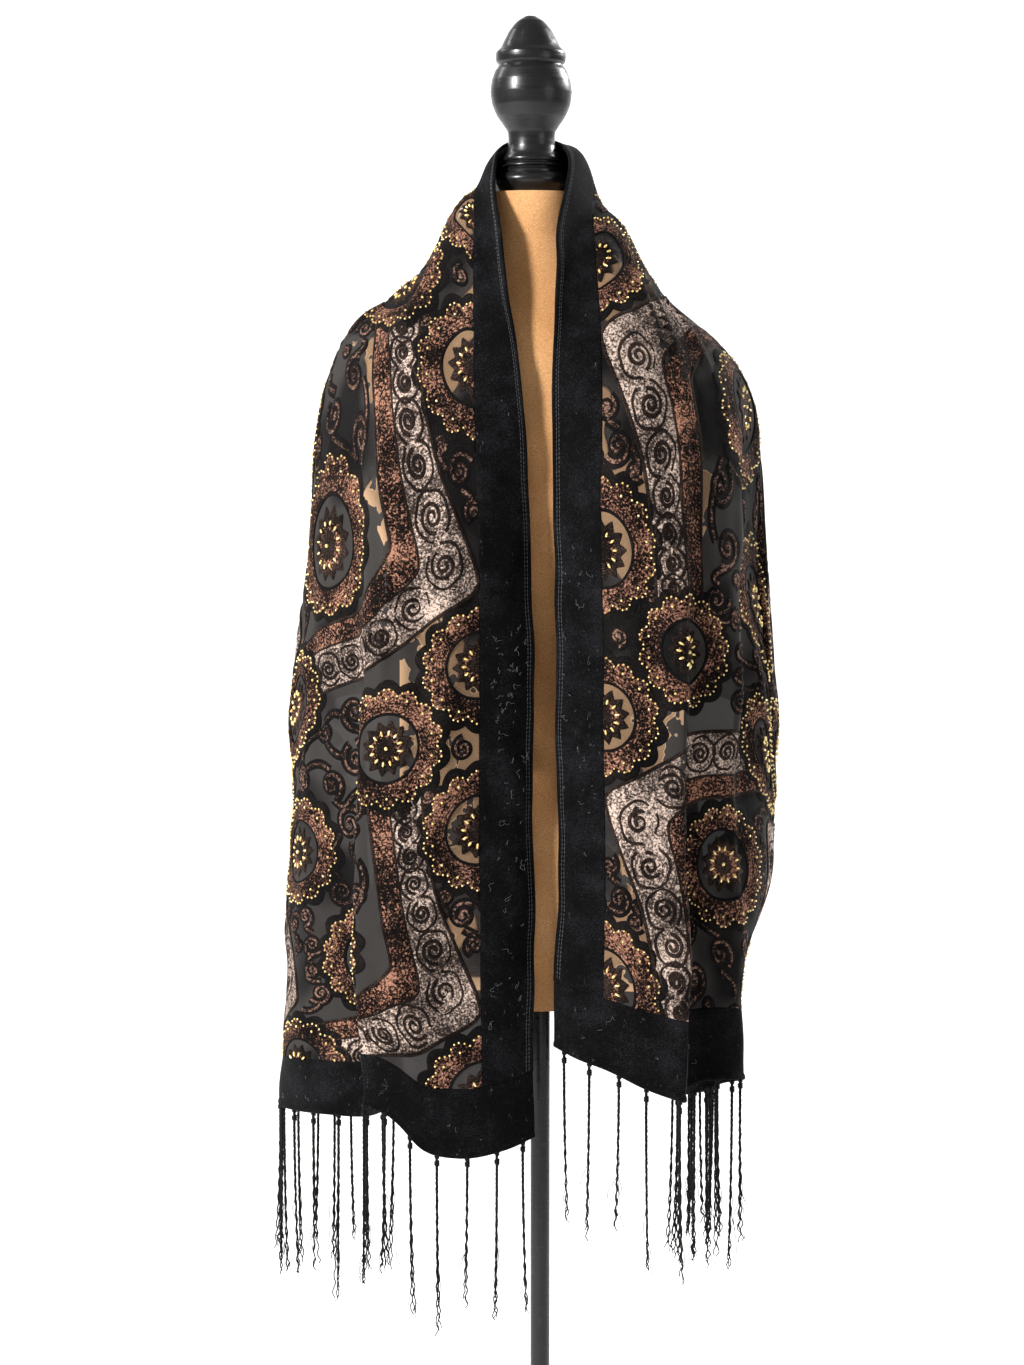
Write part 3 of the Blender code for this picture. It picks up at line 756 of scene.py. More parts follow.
def black_wood():
    """Old black paint on turned wood: soft gloss, fine turning lines, scratches and worn specks."""
    made, tree, shader = new_material("black_painted_wood_worn")
    place = object_place(tree)
    turning = noise(tree, 420.0, 2.0, 0.5, stretched(tree, place, (0.05, 0.05, 1.0)))
    scratch = noise(tree, 75.0, 6.0, 0.8, stretched(tree, place, (1.0, 1.0, 0.25)))
    dust = noise(tree, 800.0, 2.0, 0.6, place)
    worn = ramp(tree, scratch, ((0.60, grey(0.0)), (0.72, grey(1.0))))
    dusty = math_node(tree, "MULTIPLY", worn, dust)
    blacks = ((0.0, (0.006, 0.006, 0.0065)), (0.6, (0.035, 0.033, 0.032)), (1.0, (0.12, 0.11, 0.10)))
    tree.links.new(ramp(tree, dusty, blacks), shader.inputs["Base Color"])
    rough = mixture(tree, worn, 0.25, turning, 0.30)
    tree.links.new(math_node(tree, "ADD", rough, 0.16, clamp=True), shader.inputs["Roughness"])
    finish_values(shader, Specular_IOR_Level=0.32, Coat_Weight=0.12, Coat_Roughness=0.14)
    bump(tree, shader, turning, 0.10, 0.0006)
    return made


def thread(name, dark, light, roughness, sheen_weight=0.2):
    """Twisted yarn: its plies run round it as slanting bands."""
    made, tree, shader = new_material(name)
    place = object_place(tree)
    ply = noise(tree, 1300.0, 2.0, 0.6, stretched(tree, place, (1.0, 1.0, 0.5)))
    tree.links.new(ramp(tree, ply, ((0.35, dark), (0.65, light))), shader.inputs["Base Color"])
    finish_values(shader, Roughness=roughness, Specular_IOR_Level=0.12, Sheen_Weight=sheen_weight)
    bump(tree, shader, ply, 0.4, 0.0004)
    return made


SHEER = sheer_chiffon()
# Each velvet takes its painted pile shade, its own colour and its painted glint colour, then its sheen.
BROWN_PILE = velvet(
    "brown_pile", (0.0015, 0.0008, 0.0006), (0.009, 0.0045, 0.0032), (0.33, 0.160, 0.104),
    sheen=(1.0, 0.68, 0.54), sheen_weight=0.08, glint_speck_scale=480.0,
)
TAUPE_PILE = velvet(
    "taupe_pile", (0.016, 0.011, 0.009), (0.115, 0.085, 0.071), (0.56, 0.43, 0.355),
    sheen=(1.0, 0.86, 0.76), sheen_weight=0.13, glint_speck_scale=480.0,
)
VINE_PILE = velvet(
    "vine_pile", (0.003, 0.0018, 0.0013), (0.018, 0.010, 0.0075), (0.22, 0.125, 0.092),
    sheen=(1.0, 0.70, 0.58), sheen_weight=0.12, glint_speck_scale=430.0,
)
BLACK_PILE = velvet(
    "black_outline_pile", (0.0015, 0.0012, 0.0012), (0.003, 0.0025, 0.0025), (0.012, 0.009, 0.008),
    sheen=(0.6, 0.5, 0.45), sheen_weight=0.05,
)
BORDER_PILE = velvet(
    "black_border_pile", (0.0006, 0.0006, 0.0008), (0.0016, 0.0016, 0.0018), (0.0110, 0.0108, 0.0122),
    sheen=(0.62, 0.63, 0.70), sheen_weight=0.04, lint=0.12,
)
SCROLL_PILE = velvet(
    "scroll_outline_pile", (0.003, 0.002, 0.0015), (0.008, 0.005, 0.004), (0.045, 0.028, 0.022),
    sheen=(0.9, 0.65, 0.5), sheen_weight=0.08,
)
BEAD = gold_glass()
SUEDE = tan_suede()
WOOD = black_wood()
SILK = thread("fringe_thread", (0.0015, 0.0014, 0.0014), (0.007, 0.0065, 0.0065), 0.7, 0.0)
STITCH = thread("grey_stitch_thread", (0.02, 0.02, 0.022), (0.085, 0.085, 0.092), 0.7)
LINT = thread("pale_lint", (0.05, 0.05, 0.053), (0.15, 0.15, 0.155), 0.8)


# The dress form: the solids' own sections turned finely enough to look smooth

FORM_AXIS_LEAN = 0.0105
FORM_SECTIONS = (
    # (height, half width, half depth)
    (0.6400, 0.1500, 0.0940),
    (0.7200, 0.1520, 0.0970),
    (0.8200, 0.1430, 0.0920),
    (0.9300, 0.1310, 0.0860),
    (1.0200, 0.1410, 0.0920),
    (1.0900, 0.1560, 0.0960),
    (1.1500, 0.1742, 0.0964),
    (1.1900, 0.1749, 0.0907),
    (1.2150, 0.1695, 0.0875),
    (1.2400, 0.1463, 0.0800),
    (1.2650, 0.1089, 0.0668),
    (1.2900, 0.0667, 0.0553),
    (1.3200, 0.0440, 0.0420),
    (1.3590, 0.0430, 0.0420),
)
FINIAL_PROFILE = (
    # (height, radius)
    (1.3593, 0.0285),
    (1.3765, 0.0285),
    (1.3772, 0.0262),
    (1.3798, 0.0262),
    (1.3806, 0.0240),
    (1.3820, 0.0240),
    (1.3828, 0.0262),
    (1.3846, 0.0262),
    (1.3854, 0.0240),
    (1.3868, 0.0240),
    (1.3876, 0.0258),
    (1.3900, 0.0258),
    (1.3945, 0.0228),
    (1.4010, 0.0210),
    (1.4130, 0.0212),
    (1.4190, 0.0250),
    (1.4270, 0.0305),
    (1.4370, 0.0347),
    (1.4480, 0.0362),
    (1.4590, 0.0347),
    (1.4680, 0.0312),
    (1.4720, 0.0285),
    (1.4745, 0.0306),
    (1.4790, 0.0312),
    (1.4835, 0.0306),
    (1.4870, 0.0268),
    (1.4940, 0.0232),
    (1.5030, 0.0182),
    (1.5110, 0.0110),
    (1.5150, 0.0042),
)
BASE_PROFILE = (
    # (height, radius)
    (0.0000, 0.1600),
    (0.0040, 0.1650),
    (0.0120, 0.1650),
    (0.0170, 0.1600),
    (0.0230, 0.1100),
    (0.0300, 0.0520),
    (0.0360, 0.0300),
    (0.0420, 0.0240),
    (0.0560, 0.0220),
)
POLE_PROFILE = ((0.0563, 0.0088), (0.6397, 0.0088))
TURNED_SIDES = 96
SHARP_ANGLE = 38
END_BEVEL = 0.97
END_POINT = 0.001


def eased(profile, step):
    """A profile's rows with more between them, rounded where the rows are far apart."""
    table = np.array(profile, float)
    heights = joined(divisions(table[0, 0], table[-1, 0], step), table[:, 0])
    smooth = curve_through(table[:, 0], table[:, 1:], heights)
    plain = np.column_stack([np.interp(heights, table[:, 0], column) for column in table[:, 1:].T])
    return heights, 0.5 * (smooth + plain)


def add_turned(name, heights, sizes, finish, slot):
    """A closed form of level rings about the form's axis, its ends shut by small caps."""
    turn = around(TURNED_SIDES)
    first, last = sizes[:1], sizes[-1:]
    sizes = np.vstack([first * END_POINT, first * END_BEVEL, sizes, last * END_BEVEL, last * END_POINT])
    heights = np.concatenate([heights[:1], heights[:1], heights, heights[-1:], heights[-1:]])
    centre = -FORM_AXIS_LEAN * np.maximum(0.0, heights - FORM_SECTIONS[0][0])
    rings = np.empty((len(heights), TURNED_SIDES, 3))
    rings[:, :, 0] = centre[:, None] + sizes[:, 0:1] * np.cos(turn)
    rings[:, :, 1] = sizes[:, -1:] * np.sin(turn)
    rings[:, :, 2] = heights[:, None]
    faces = grid_faces(len(heights), TURNED_SIDES, wrap=True)
    piece = mesh_piece(name + "_turned", rings.reshape(-1, 3), faces, finish)
    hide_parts(name)
    piece.data.set_sharp_from_angle(angle=math.radians(SHARP_ANGLE))
    return piece


add_turned("form_torso", *eased(FORM_SECTIONS, step=0.008), SUEDE, "tan_suede")
add_turned("form_finial", *eased(FINIAL_PROFILE, step=0.0012), WOOD, "black_painted_wood")
add_turned("stand_base", *eased(BASE_PROFILE, step=0.0015), WOOD, "black_painted_wood")
add_turned("stand_pole", *eased(POLE_PROFILE, step=0.02), WOOD, "black_painted_wood")


# Sheer ground of the panel

PANEL = ((LEFT_SEAM, RIGHT_SEAM), (LONG_BORDER, OUTER_SEAM))
SLIGHT = 1e-6


def add_ground():
    (a0, a1), (c0, c1) = PANEL
    rows = (cloth.along > a0 - SLIGHT) & (cloth.along < a1 + SLIGHT)
    columns = (cloth.across > c0 - SLIGHT) & (cloth.across < c1 + SLIGHT)
    along, across = np.meshgrid(cloth.along[rows], cloth.across[columns], indexing="ij")
    bag = Pieces()
    bag.grid(along, across, np.zeros(along.shape))
    return bag.build("shawl_ground", SHEER, "devore_velvet")


# Borders: closed thin walls with soft edges

BORDER_FRONT = 0.0009
BORDER_BACK = -0.0005
EDGE_INSET = 0.0008


def border_section(first, last):
    """(across the border, lift) round a border's cross-section, its rolled hem at first."""
    span = last - first
    front = [(0.0, 0.0000), (0.006, 0.0013), (0.020, 0.0018)]
    front += [(0.045, 0.0019), (0.075, 0.0015), (0.100, 0.0008)]
    shares = np.linspace(0.16, 0.97, 13)
    front += [(share, BORDER_FRONT) for share in shares] + [(0.99, 0.0006), (1.0, 0.0001)]
    back = [(1.0, -0.0003), (0.97, BORDER_BACK)] + [(share, BORDER_BACK) for share in shares[::-2]]
    back += [(0.100, -0.0009), (0.045, -0.0012), (0.010, -0.0009)]
    section = np.array(front + back)
    return first + section[:, 0] * span, section[:, 1]


def add_long_border(name, first, last):
    places, lifts = border_section(first, last)
    a, c = np.meshgrid(divisions(LEFT_SEAM, RIGHT_SEAM), places, indexing="ij")
    bag = Pieces()
    bag.grid(a, c, np.broadcast_to(lifts, a.shape), wrap=True)
    return bag.build(name, BORDER_PILE, "black_velvet")


def add_end_border(name, hem, seam):
    places, lifts = border_section(hem, seam)
    across = divisions(EDGE_INSET, CLOTH_WIDTH - EDGE_INSET)
    c, a = np.meshgrid(across, places, indexing="ij")
    lift = np.broadcast_to(lifts, a.shape)
    bag = Pieces()
    if hem < seam:
        a, c, lift = a[:, ::-1], c[:, ::-1], lift[:, ::-1]
    bag.grid(a, c, lift, wrap=True)
    return bag.build(name, BORDER_PILE, "black_velvet")


# The pattern: one repeat drawn by formula in millimetres from its corner, laid over the panel

MEDALLIONS = (
    # (across, along) of the middles, in millimetres from the repeat's corner
    (0, -70),
    (0, -214),
    (85, -135),
    (165, 48),
)

# A medallion's scallops, petals and beads. Its reaches are in millimetres and the rest in metres.
SCALLOPS = 14
SCALLOP_DEPTH = 3.2
PETALS = 12
PETAL_TIP = 24.5
PETAL_NOTCH = 6.5
ROSETTE_TURN = 0.4
LINE_RADII = (33.6, 36.2, 38.8)
EDGE_BEADS = 72
EDGE_BEAD_REACH = 48.6
SPOT_REACH = 43.4
SEED_REACH = 13.6
SEED_RADIUS = 0.00115
SEED_STRETCH = 2.1
SEED_LIFT = 0.0014
MIDDLE_BEAD_RADIUS = 0.0018

BAND = (
    # (outer across, outer along, inner across, inner along, ring band's far across, far along)
    (52, 190, 84, 190, 104, 190),
    (50, 160, 80, 157, 100, 156),
    (45, 125, 75, 120, 96, 117),
    (36, 92, 70, 84, 91, 79),
    (20, 55, 63, 54, 85, 54),
    (3, 14, 57, 30, 83, 38),
    (4, -4, 60, 15, 90, 27),
    (38, -22, 84, -2, 104, 12),
    (76, -46, 104, -18, 117, 0),
    (112, -64, 130, -27, 136, -8),
    (160, -70, 166, -31, 170, -12),
    (214, -82, 222, -42, 226, -24),
)
BAND_SCROLLS = (
    # (across, along, radius, first angle, handedness)
    (32, 20, 13, 30, 1),
    (42, 56, 12, 200, -1),
    (53, 88, 10, 20, 1),
    (60, 114, 9, 190, -1),
    (63, 138, 8, 10, 1),
    (67, 160, 8, 180, -1),
    (68, 180, 7, 0, 1),
    (62, -12, 13, 250, -1),
    (92, -34, 11, 60, 1),
    (122, -46, 11, 240, -1),
    (150, -50, 11, 60, 1),
    (178, -54, 11, 250, -1),
    (204, -60, 10, 70, 1),
)
VINE_SCROLLS = (
    # (across, along, radius, first angle, handedness)
    (14, 84, 12, 300, 1),
    (30, 100, 6, 60, -1),
    (4, 58, 8, 160, -1),
    (14, -142, 9, 0, 1),
    (-14, -142, 8, 180, 1),
    (46, -180, 6, 120, 1),
    (36, -100, 5, 200, -1),
    (117, 104, 15, 150, -1),
    (128, 142, 15, 330, 1),
    (120, 184, 15, 100, -1),
    (161, 122, 14, 40, 1),
    (194, 113, 13, 220, -1),
    (174, 174, 17, 280, 1),
    (142, 164, 6, 20, 1),
    (146, 196, 9, 10, -1),
    (188, 210, 13, 200, 1),
    (228, 218, 11, 40, -1),
    (156, -98, 15, 180, -1),
    (158, -140, 15, 20, 1),
    (190, -112, 9, 60, 1),
    (230, -140, 12, 330, 1),
    (218, 10, 12, 120, 1),
    (230, 60, 12, 250, -1),
    (228, 34, 8, 40, 1),
    (238, 90, 10, 180, 1),
)
VINE_STEMS = (
    # (across, along) of the start, bend and end of a stem
    (14, 72, 4, 66, 4, 66),
    (30, 94, 38, 100, 26, 84),
    (117, 89, 100, 120, 114, 139),
    (128, 157, 106, 166, 120, 170),
    (161, 108, 136, 96, 124, 92),
    (161, 136, 182, 146, 174, 157),
    (194, 126, 208, 140, 188, 166),
    (174, 191, 160, 206, 151, 204),
    (146, 187, 138, 210, 120, 199),
    (188, 223, 204, 236, 222, 228),
    (188, 197, 182, 188, 174, 191),
    (156, -113, 138, -118, 156, -126),
    (190, -121, 180, -136, 172, -135),
    (190, -104, 178, -92, 171, -100),
    (230, -128, 216, -112, 198, -112),
    (218, 22, 238, 22, 234, 32),
    (230, 48, 238, 42, 228, 42),
    (230, 72, 240, 78, 238, 80),
    (218, -2, 228, -12, 238, -8),
)


def repeats():
    """The corner of each repeat that may reach the panel, as (along, across)."""
    return [(corner, row) for corner in CORNERS_ALONG for row in ROWS_ACROSS]


def scallop_radius(angle, base):
    return base + SCALLOP_DEPTH * (2 * np.abs(np.cos(SCALLOPS * angle / 2)) - 1)


def seen(along, across, reach):
    (a0, a1), (c0, c1) = PANEL
    return a0 - reach < along < a1 + reach and c0 - reach < across < c1 + reach


def medallion_middles():
    found = []
    for corner, row in repeats():
        for across, along in MEDALLIONS:
            middle = (corner + along * MM, row + across * MM)
            if seen(*middle, 0.056):
                found.append(middle)
    return found


def about(middle, reach, angle):
    """Places at a reach and angle from a middle, as (along, across)."""
    return middle[0] + reach * np.cos(angle), middle[1] + reach * np.sin(angle)


def add_ring(bag, middle, radii, lifts, turns, scalloped=0.0):
    """A raised ring through radii in millimetres, each with its lift and its share of the scallops."""
    angle = np.linspace(0, 2 * math.pi, turns + 1)[:, None]
    wave = (scallop_radius(angle, 0.0) * MM) * np.asarray(scalloped, float)
    along, across = about(middle, np.asarray(radii, float)[None, :] * MM + wave, angle)
    bag.grid(along, across, np.broadcast_to(np.asarray(lifts, float), along.shape))


def add_line_ring(bag, middle, radius, half_width, lift, low, turns):
    add_ring(bag, middle, (radius - half_width, radius, radius + half_width), (low, lift, low), turns)


def add_medallions():
    outline, ring, dark, edge_beads, rosette_beads = (Pieces(PANEL) for _ in range(5))
    for index, middle in enumerate(medallion_middles()):
        add_ring(outline, middle, (46.5, 50, 55.5, 57.5), (0.0006, 0.0009, 0.0008, 0.0001), 112, 1.0)
        add_ring(outline, middle, (28.6, 29.4, 30.6, 31.6), (0.0001, 0.0011, 0.0011, 0.0006), 64)
        radii = (30.4, 31.5, 34.5, 38.0, 42.0, 46.0, 49.0, 50.2)
        lifts = (0.0002, PILE, PILE, PILE, PILE * 1.1, PILE * 1.1, PILE, 0.0004)
        add_ring(ring, middle, radii, lifts, 112, (0, 0, 0, 0.15, 0.4, 0.8, 1, 1))
        for radius in LINE_RADII:
            add_line_ring(dark, middle, radius, 0.6, 0.0012, 0.0006, 56)
        spots = about(middle, SPOT_REACH * MM, around(SCALLOPS))
        for spot in zip(*spots):
            add_line_ring(dark, spot, 3.5, 0.6, 0.0013, 0.0007, 14)
        turn = ROSETTE_TURN * index
        add_rosette(ring, dark, middle, turn)
        angles = around(EDGE_BEADS, 0.5)
        add_beads(edge_beads, *about(middle, scallop_radius(angles, EDGE_BEAD_REACH) * MM, angles))
        add_beads(rosette_beads, *spots, SEED_RADIUS)
        angles = turn + around(PETALS)
        seeds = about(middle, SEED_REACH * MM, angles)
        add_beads(rosette_beads, *seeds, SEED_RADIUS, SEED_STRETCH, heading=angles, lift=SEED_LIFT)
        add_beads(rosette_beads, [middle[0]], [middle[1]], MIDDLE_BEAD_RADIUS, lift=SEED_LIFT)
    return [
        ring.build("medallion_rings", BROWN_PILE, "devore_velvet"),
        outline.build("medallion_outlines", BLACK_PILE, "devore_velvet"),
        dark.build("medallion_lines", SCROLL_PILE, "devore_velvet"),
        edge_beads.build("scallop_beads", BEAD, "devore_velvet"),
        rosette_beads.build("rosette_beads", BEAD, "devore_velvet"),
    ]


def add_rosette(pile, dark, middle, turn):
    """A flower of pointed petals with a dark outline in the medallion's sheer middle."""
    angle = np.linspace(0, 2 * math.pi, 8 * PETALS + 1)[:, None]
    point = np.abs(((angle - turn) * PETALS / (2 * math.pi) + 0.5) % 1.0 - 0.5) * 2
    tip = (PETAL_TIP - PETAL_NOTCH * point**0.8) * MM
    for bag, shares, lifts in (
        (dark, np.array([0.70, 0.76, 0.98, 1.04]), (0.0006, 0.0012, 0.0011, 0.0001)),
        (pile, np.array([0.42, 0.46, 0.60, 0.78]), (0.0003, PILE, PILE * 1.15, 0.0006)),
        (dark, np.array([0.02, 0.20, 0.42, 0.48]), (0.0009, 0.0012, 0.0011, 0.0003)),
    ):
        along, across = about(middle, tip * shares[None, :], angle)
        bag.grid(along, across, np.broadcast_to(np.array(lifts), along.shape))


BAND_EDGE_WIDTHS = (0.0040, 0.0032, 0.0040)
BAND_RING_PITCH = 0.0125
BAND_RING_START = 0.006
SCROLL_WIDTH = 0.0034
OVAL_GAP = 4.2
OVAL_WIDTH = 0.0026
VINE_OUTLINE_WIDTH = 0.0095
VINE_WIDTH = 0.0027
STEM_OUTLINE_WIDTH = 0.0088
STEM_WIDTH = 0.0026
OUTLINE_LIFT = 0.0006
VINE_LIFT = 0.0010
LINE_LIFT = 0.0011


def band_rows(count=110):
    """The band's edges at even steps along it, from the table."""
    table = np.array(BAND, float) * MM
    return curve_through(np.arange(len(table)), table, np.linspace(0, len(table) - 1, count))


def add_bands():
    taupe, brown, lines = (Pieces(PANEL) for _ in range(3))
    rows = band_rows()
    edges = [(rows[:, i], rows[:, i + 1]) for i in (0, 2, 4)]
    shares = np.array([0.0, 0.03, 0.2, 0.4, 0.6, 0.8, 0.97, 1.0])
    lifts = np.array([0.0001, 1.0, 1.0, 1.0, 1.0, 1.0, 1.0, 0.0001])
    lifts[1:-1] *= PILE * 0.8
    for corner, row in repeats():
        for bag, height, near, far in ((taupe, 1.0, *edges[:2]), (brown, 0.9, *edges[1:])):
            (near_c, near_a), (far_c, far_a) = ([values[:, None] for values in edge] for edge in (near, far))
            along = corner + near_a + (far_a - near_a) * shares
            across = row + near_c + (far_c - near_c) * shares
            bag.grid(along, across, np.broadcast_to(lifts * height, along.shape))
        for (edge_c, edge_a), width in zip(edges, BAND_EDGE_WIDTHS):
            ribbon(lines, corner + edge_a, row + edge_c, width, LINE_LIFT)
        middle_c = (rows[:, 2] + rows[:, 4]) / 2
        middle_a = (rows[:, 3] + rows[:, 5]) / 2
        run = np.concatenate([[0], np.cumsum(np.hypot(np.diff(middle_c), np.diff(middle_a)))])
        for stop in np.arange(BAND_RING_START, run[-1], BAND_RING_PITCH):
            spot = (corner + np.interp(stop, run, middle_a), row + np.interp(stop, run, middle_c))
            add_line_ring(lines, spot, 4.0, 0.8, LINE_LIFT, 0.0005, 16)
        for across, along, radius, first, hand in BAND_SCROLLS:
            spot = (corner + along * MM, row + across * MM)
            add_scroll(lines, *spot, radius * MM, first, hand)
            add_oval(lines, *spot, (radius + OVAL_GAP) * MM, first)
    return [
        taupe.build("taupe_bands", TAUPE_PILE, "devore_velvet"),
        brown.build("ring_bands", BROWN_PILE, "devore_velvet"),
        lines.build("band_lines", SCROLL_PILE, "devore_velvet"),
    ]


def spiral(radius, first, hand, turns=1.9):
    """A curl that winds in to its middle: offsets (along, across)."""
    t = np.linspace(0, 1, 37)
    angle = math.radians(first) + hand * 2 * math.pi * turns * t
    reach = radius * (1 - 0.86 * t**0.8)
    return reach * np.cos(angle), reach * np.sin(angle)


def add_scroll(bag, along, across, radius, first, hand):
    if seen(along, across, radius * 1.3):
        da, dc = spiral(radius, first, hand)
        ribbon(bag, along + da, across + dc, SCROLL_WIDTH, LINE_LIFT, low=PILE * 0.75)


def add_oval(bag, along, across, radius, first):
    """A lobed outline round a scroll, open on one side."""
    if seen(along, across, radius):
        angle = math.radians(first) + np.linspace(0.5, 2 * math.pi - 0.3, 44)
        reach = radius * (1 + 0.09 * np.abs(np.sin(2.5 * angle)))
        path = (along + reach * np.cos(angle), across + reach * np.sin(angle) * 0.92)
        ribbon(bag, *path, OVAL_WIDTH, VINE_LIFT, low=PILE * 0.75)


def add_vines():
    pile, outline = Pieces(PANEL), Pieces(PANEL)
    t = np.linspace(0, 1, 24)
    for corner, row in repeats():
        for across, along, radius, first, hand in VINE_SCROLLS:
            spot = (corner + along * MM, row + across * MM)
            if not seen(*spot, 0.03):
                continue
            da, dc = spiral(radius * MM, first, hand, 1.5)
            taper = np.linspace(1.0, 0.7, len(da))
            path = (spot[0] + da, spot[1] + dc)
            ribbon(outline, *path, VINE_OUTLINE_WIDTH * taper, OUTLINE_LIFT)
            ribbon(pile, *path, VINE_WIDTH * taper, VINE_LIFT, low=OUTLINE_LIFT)
            add_ring(pile, (path[0][-1], path[1][-1]), (0.1, 1.8, 2.9), (0.001, 0.001, 0.0004), 12)
        for c0, a0, c1, a1, c2, a2 in VINE_STEMS:
            if not seen(corner + a1 * MM, row + c1 * MM, 0.05):
                continue
            along = corner + (a0 * (1 - t) ** 2 + 2 * a1 * t * (1 - t) + a2 * t**2) * MM
            across = row + (c0 * (1 - t) ** 2 + 2 * c1 * t * (1 - t) + c2 * t**2) * MM
            ribbon(outline, along, across, STEM_OUTLINE_WIDTH, OUTLINE_LIFT)
            ribbon(pile, along, across, STEM_WIDTH, VINE_LIFT, low=OUTLINE_LIFT)
    return [
        pile.build("vine_scrolls", VINE_PILE, "devore_velvet"),
        outline.build("vine_outlines", BLACK_PILE, "devore_velvet"),
    ]


# Stitches, hem thread and fringe

STITCH_ROWS = (
    # (across, lift)
    (0.0052, 0.0016),
    (0.0078, 0.0011),
    (CLOTH_WIDTH - 0.0060, 0.0013),
)
STITCH_PITCH = 0.0036
STITCH_LENGTHS = (0.0, 0.0006, 0.0019, 0.0025)
STITCH_HALF_WIDTH = 0.00032


def add_stitches():
    """Two rows of short stitches along the inner hem, and one along the outer hem."""
    bag = Pieces(((LEFT_SEAM, RIGHT_SEAM), (0.0, CLOTH_WIDTH)))
    sides = np.array([-STITCH_HALF_WIDTH, 0.0, STITCH_HALF_WIDTH])
    rise = np.outer([0.0, 0.4, 0.4, 0.0], [0.3, 1.0, 0.3]) * MM
    for across, lift in STITCH_ROWS:
        for start in np.arange(LEFT_SEAM + 0.002, RIGHT_SEAM - 0.004, STITCH_PITCH):
            a, c = np.meshgrid(start + np.array(STITCH_LENGTHS), across + sides, indexing="ij")
            bag.grid(a, c, lift + rise - 0.0001)
    return bag.build("hem_stitches", STITCH, "black_velvet")


LINT_PATCHES = (
    # (along, across, spread along, spread across, how many)
    (-0.560, 0.024, 0.060, 0.018, 34),
    (-0.660, 0.020, 0.050, 0.018, 22),
    (-0.780, 0.026, 0.060, 0.018, 14),
    (0.500, 0.026, 0.090, 0.018, 16),
    (0.640, 0.024, 0.060, 0.018, 10),
    (-0.480, 0.534, 0.200, 0.016, 14),
    (0.100, 0.534, 0.300, 0.016, 16),
    (-0.922, 0.200, 0.018, 0.160, 14),
    (0.842, 0.180, 0.018, 0.150, 12),
)
LINT_WIDTH = 0.00018
LINT_LIFT = 0.0017
LINT_LOW = 0.0014


def add_lint():
    """Stray pale hairs caught in the black pile."""
    bag = Pieces(((-LEFT_LENGTH, RIGHT_LENGTH), (0.0, CLOTH_WIDTH)))
    rng = np.random.default_rng(5)
    t = np.linspace(0, 1, 14)
    for along, across, spread_along, spread_across, count in LINT_PATCHES:
        for _ in range(count):
            a = along + spread_along * rng.uniform(-1, 1)
            c = across + spread_across * rng.uniform(-1, 1)
            reach = rng.uniform(0.003, 0.014)
            start, bend = rng.uniform(0, 2 * math.pi), rng.uniform(-8, 8)
            angle = start + bend * t + 0.8 * np.sin(9 * t + start)
            path_a = a + reach * np.cumsum(np.cos(angle)) / len(t)
            path_c = c + reach * np.cumsum(np.sin(angle)) / len(t)
            ribbon(bag, path_a, path_c, LINT_WIDTH, LINT_LIFT, low=LINT_LOW)
    return bag.build("lint_hairs", LINT, "black_velvet")


def tube(bag, path, radius, sides=5):
    """A closed-section tube along a path in space."""
    way = unit(np.gradient(path, axis=0))
    guide = np.where(np.abs(way[:, 2:3]) > 0.85, [[0.0, -1.0, 0.0]], [[0.0, 0.0, 1.0]])
    first = unit(np.cross(way, guide))
    second = np.cross(way, first)
    turn = around(sides)
    reach = np.broadcast_to(np.asarray(radius), len(path))[:, None, None]
    rings = path[:, None, :] + reach * (
        np.cos(turn)[None, :, None] * first[:, None, :]
        + np.sin(turn)[None, :, None] * second[:, None, :]
    )
    faces = grid_faces(len(path), sides, wrap=True)
    places = np.repeat(path[:, 0:2], sides, axis=0)
    bag.add(rings.reshape(-1, 3), places, faces)


# The fringe: the spacing, length and twist of its strands, and the radii of what they are made of.
STRAND_PITCH = 0.0265
STRAND_LENGTH = 0.152
PLIES = 3
PLY_TURNS = 11
PLY_RADIUS = 0.00098
PLY_SPREAD = 0.00060
LOOSE_SPREAD = 0.0016
HEM_KNOT_RADIUS = 0.0012
KNOT_RADIUS = 0.0013
KNOT_HEIGHT = 0.004
KNOT_TURNS = 2.4
WISP_RADIUS = 0.00036


def strand_reach(index):
    return STRAND_LENGTH * (1.0 + 0.09 * math.sin(index * 2.3) + 0.05 * math.sin(index * 5.1))


def down(length):
    return np.array([0.0, 0.0, -length])


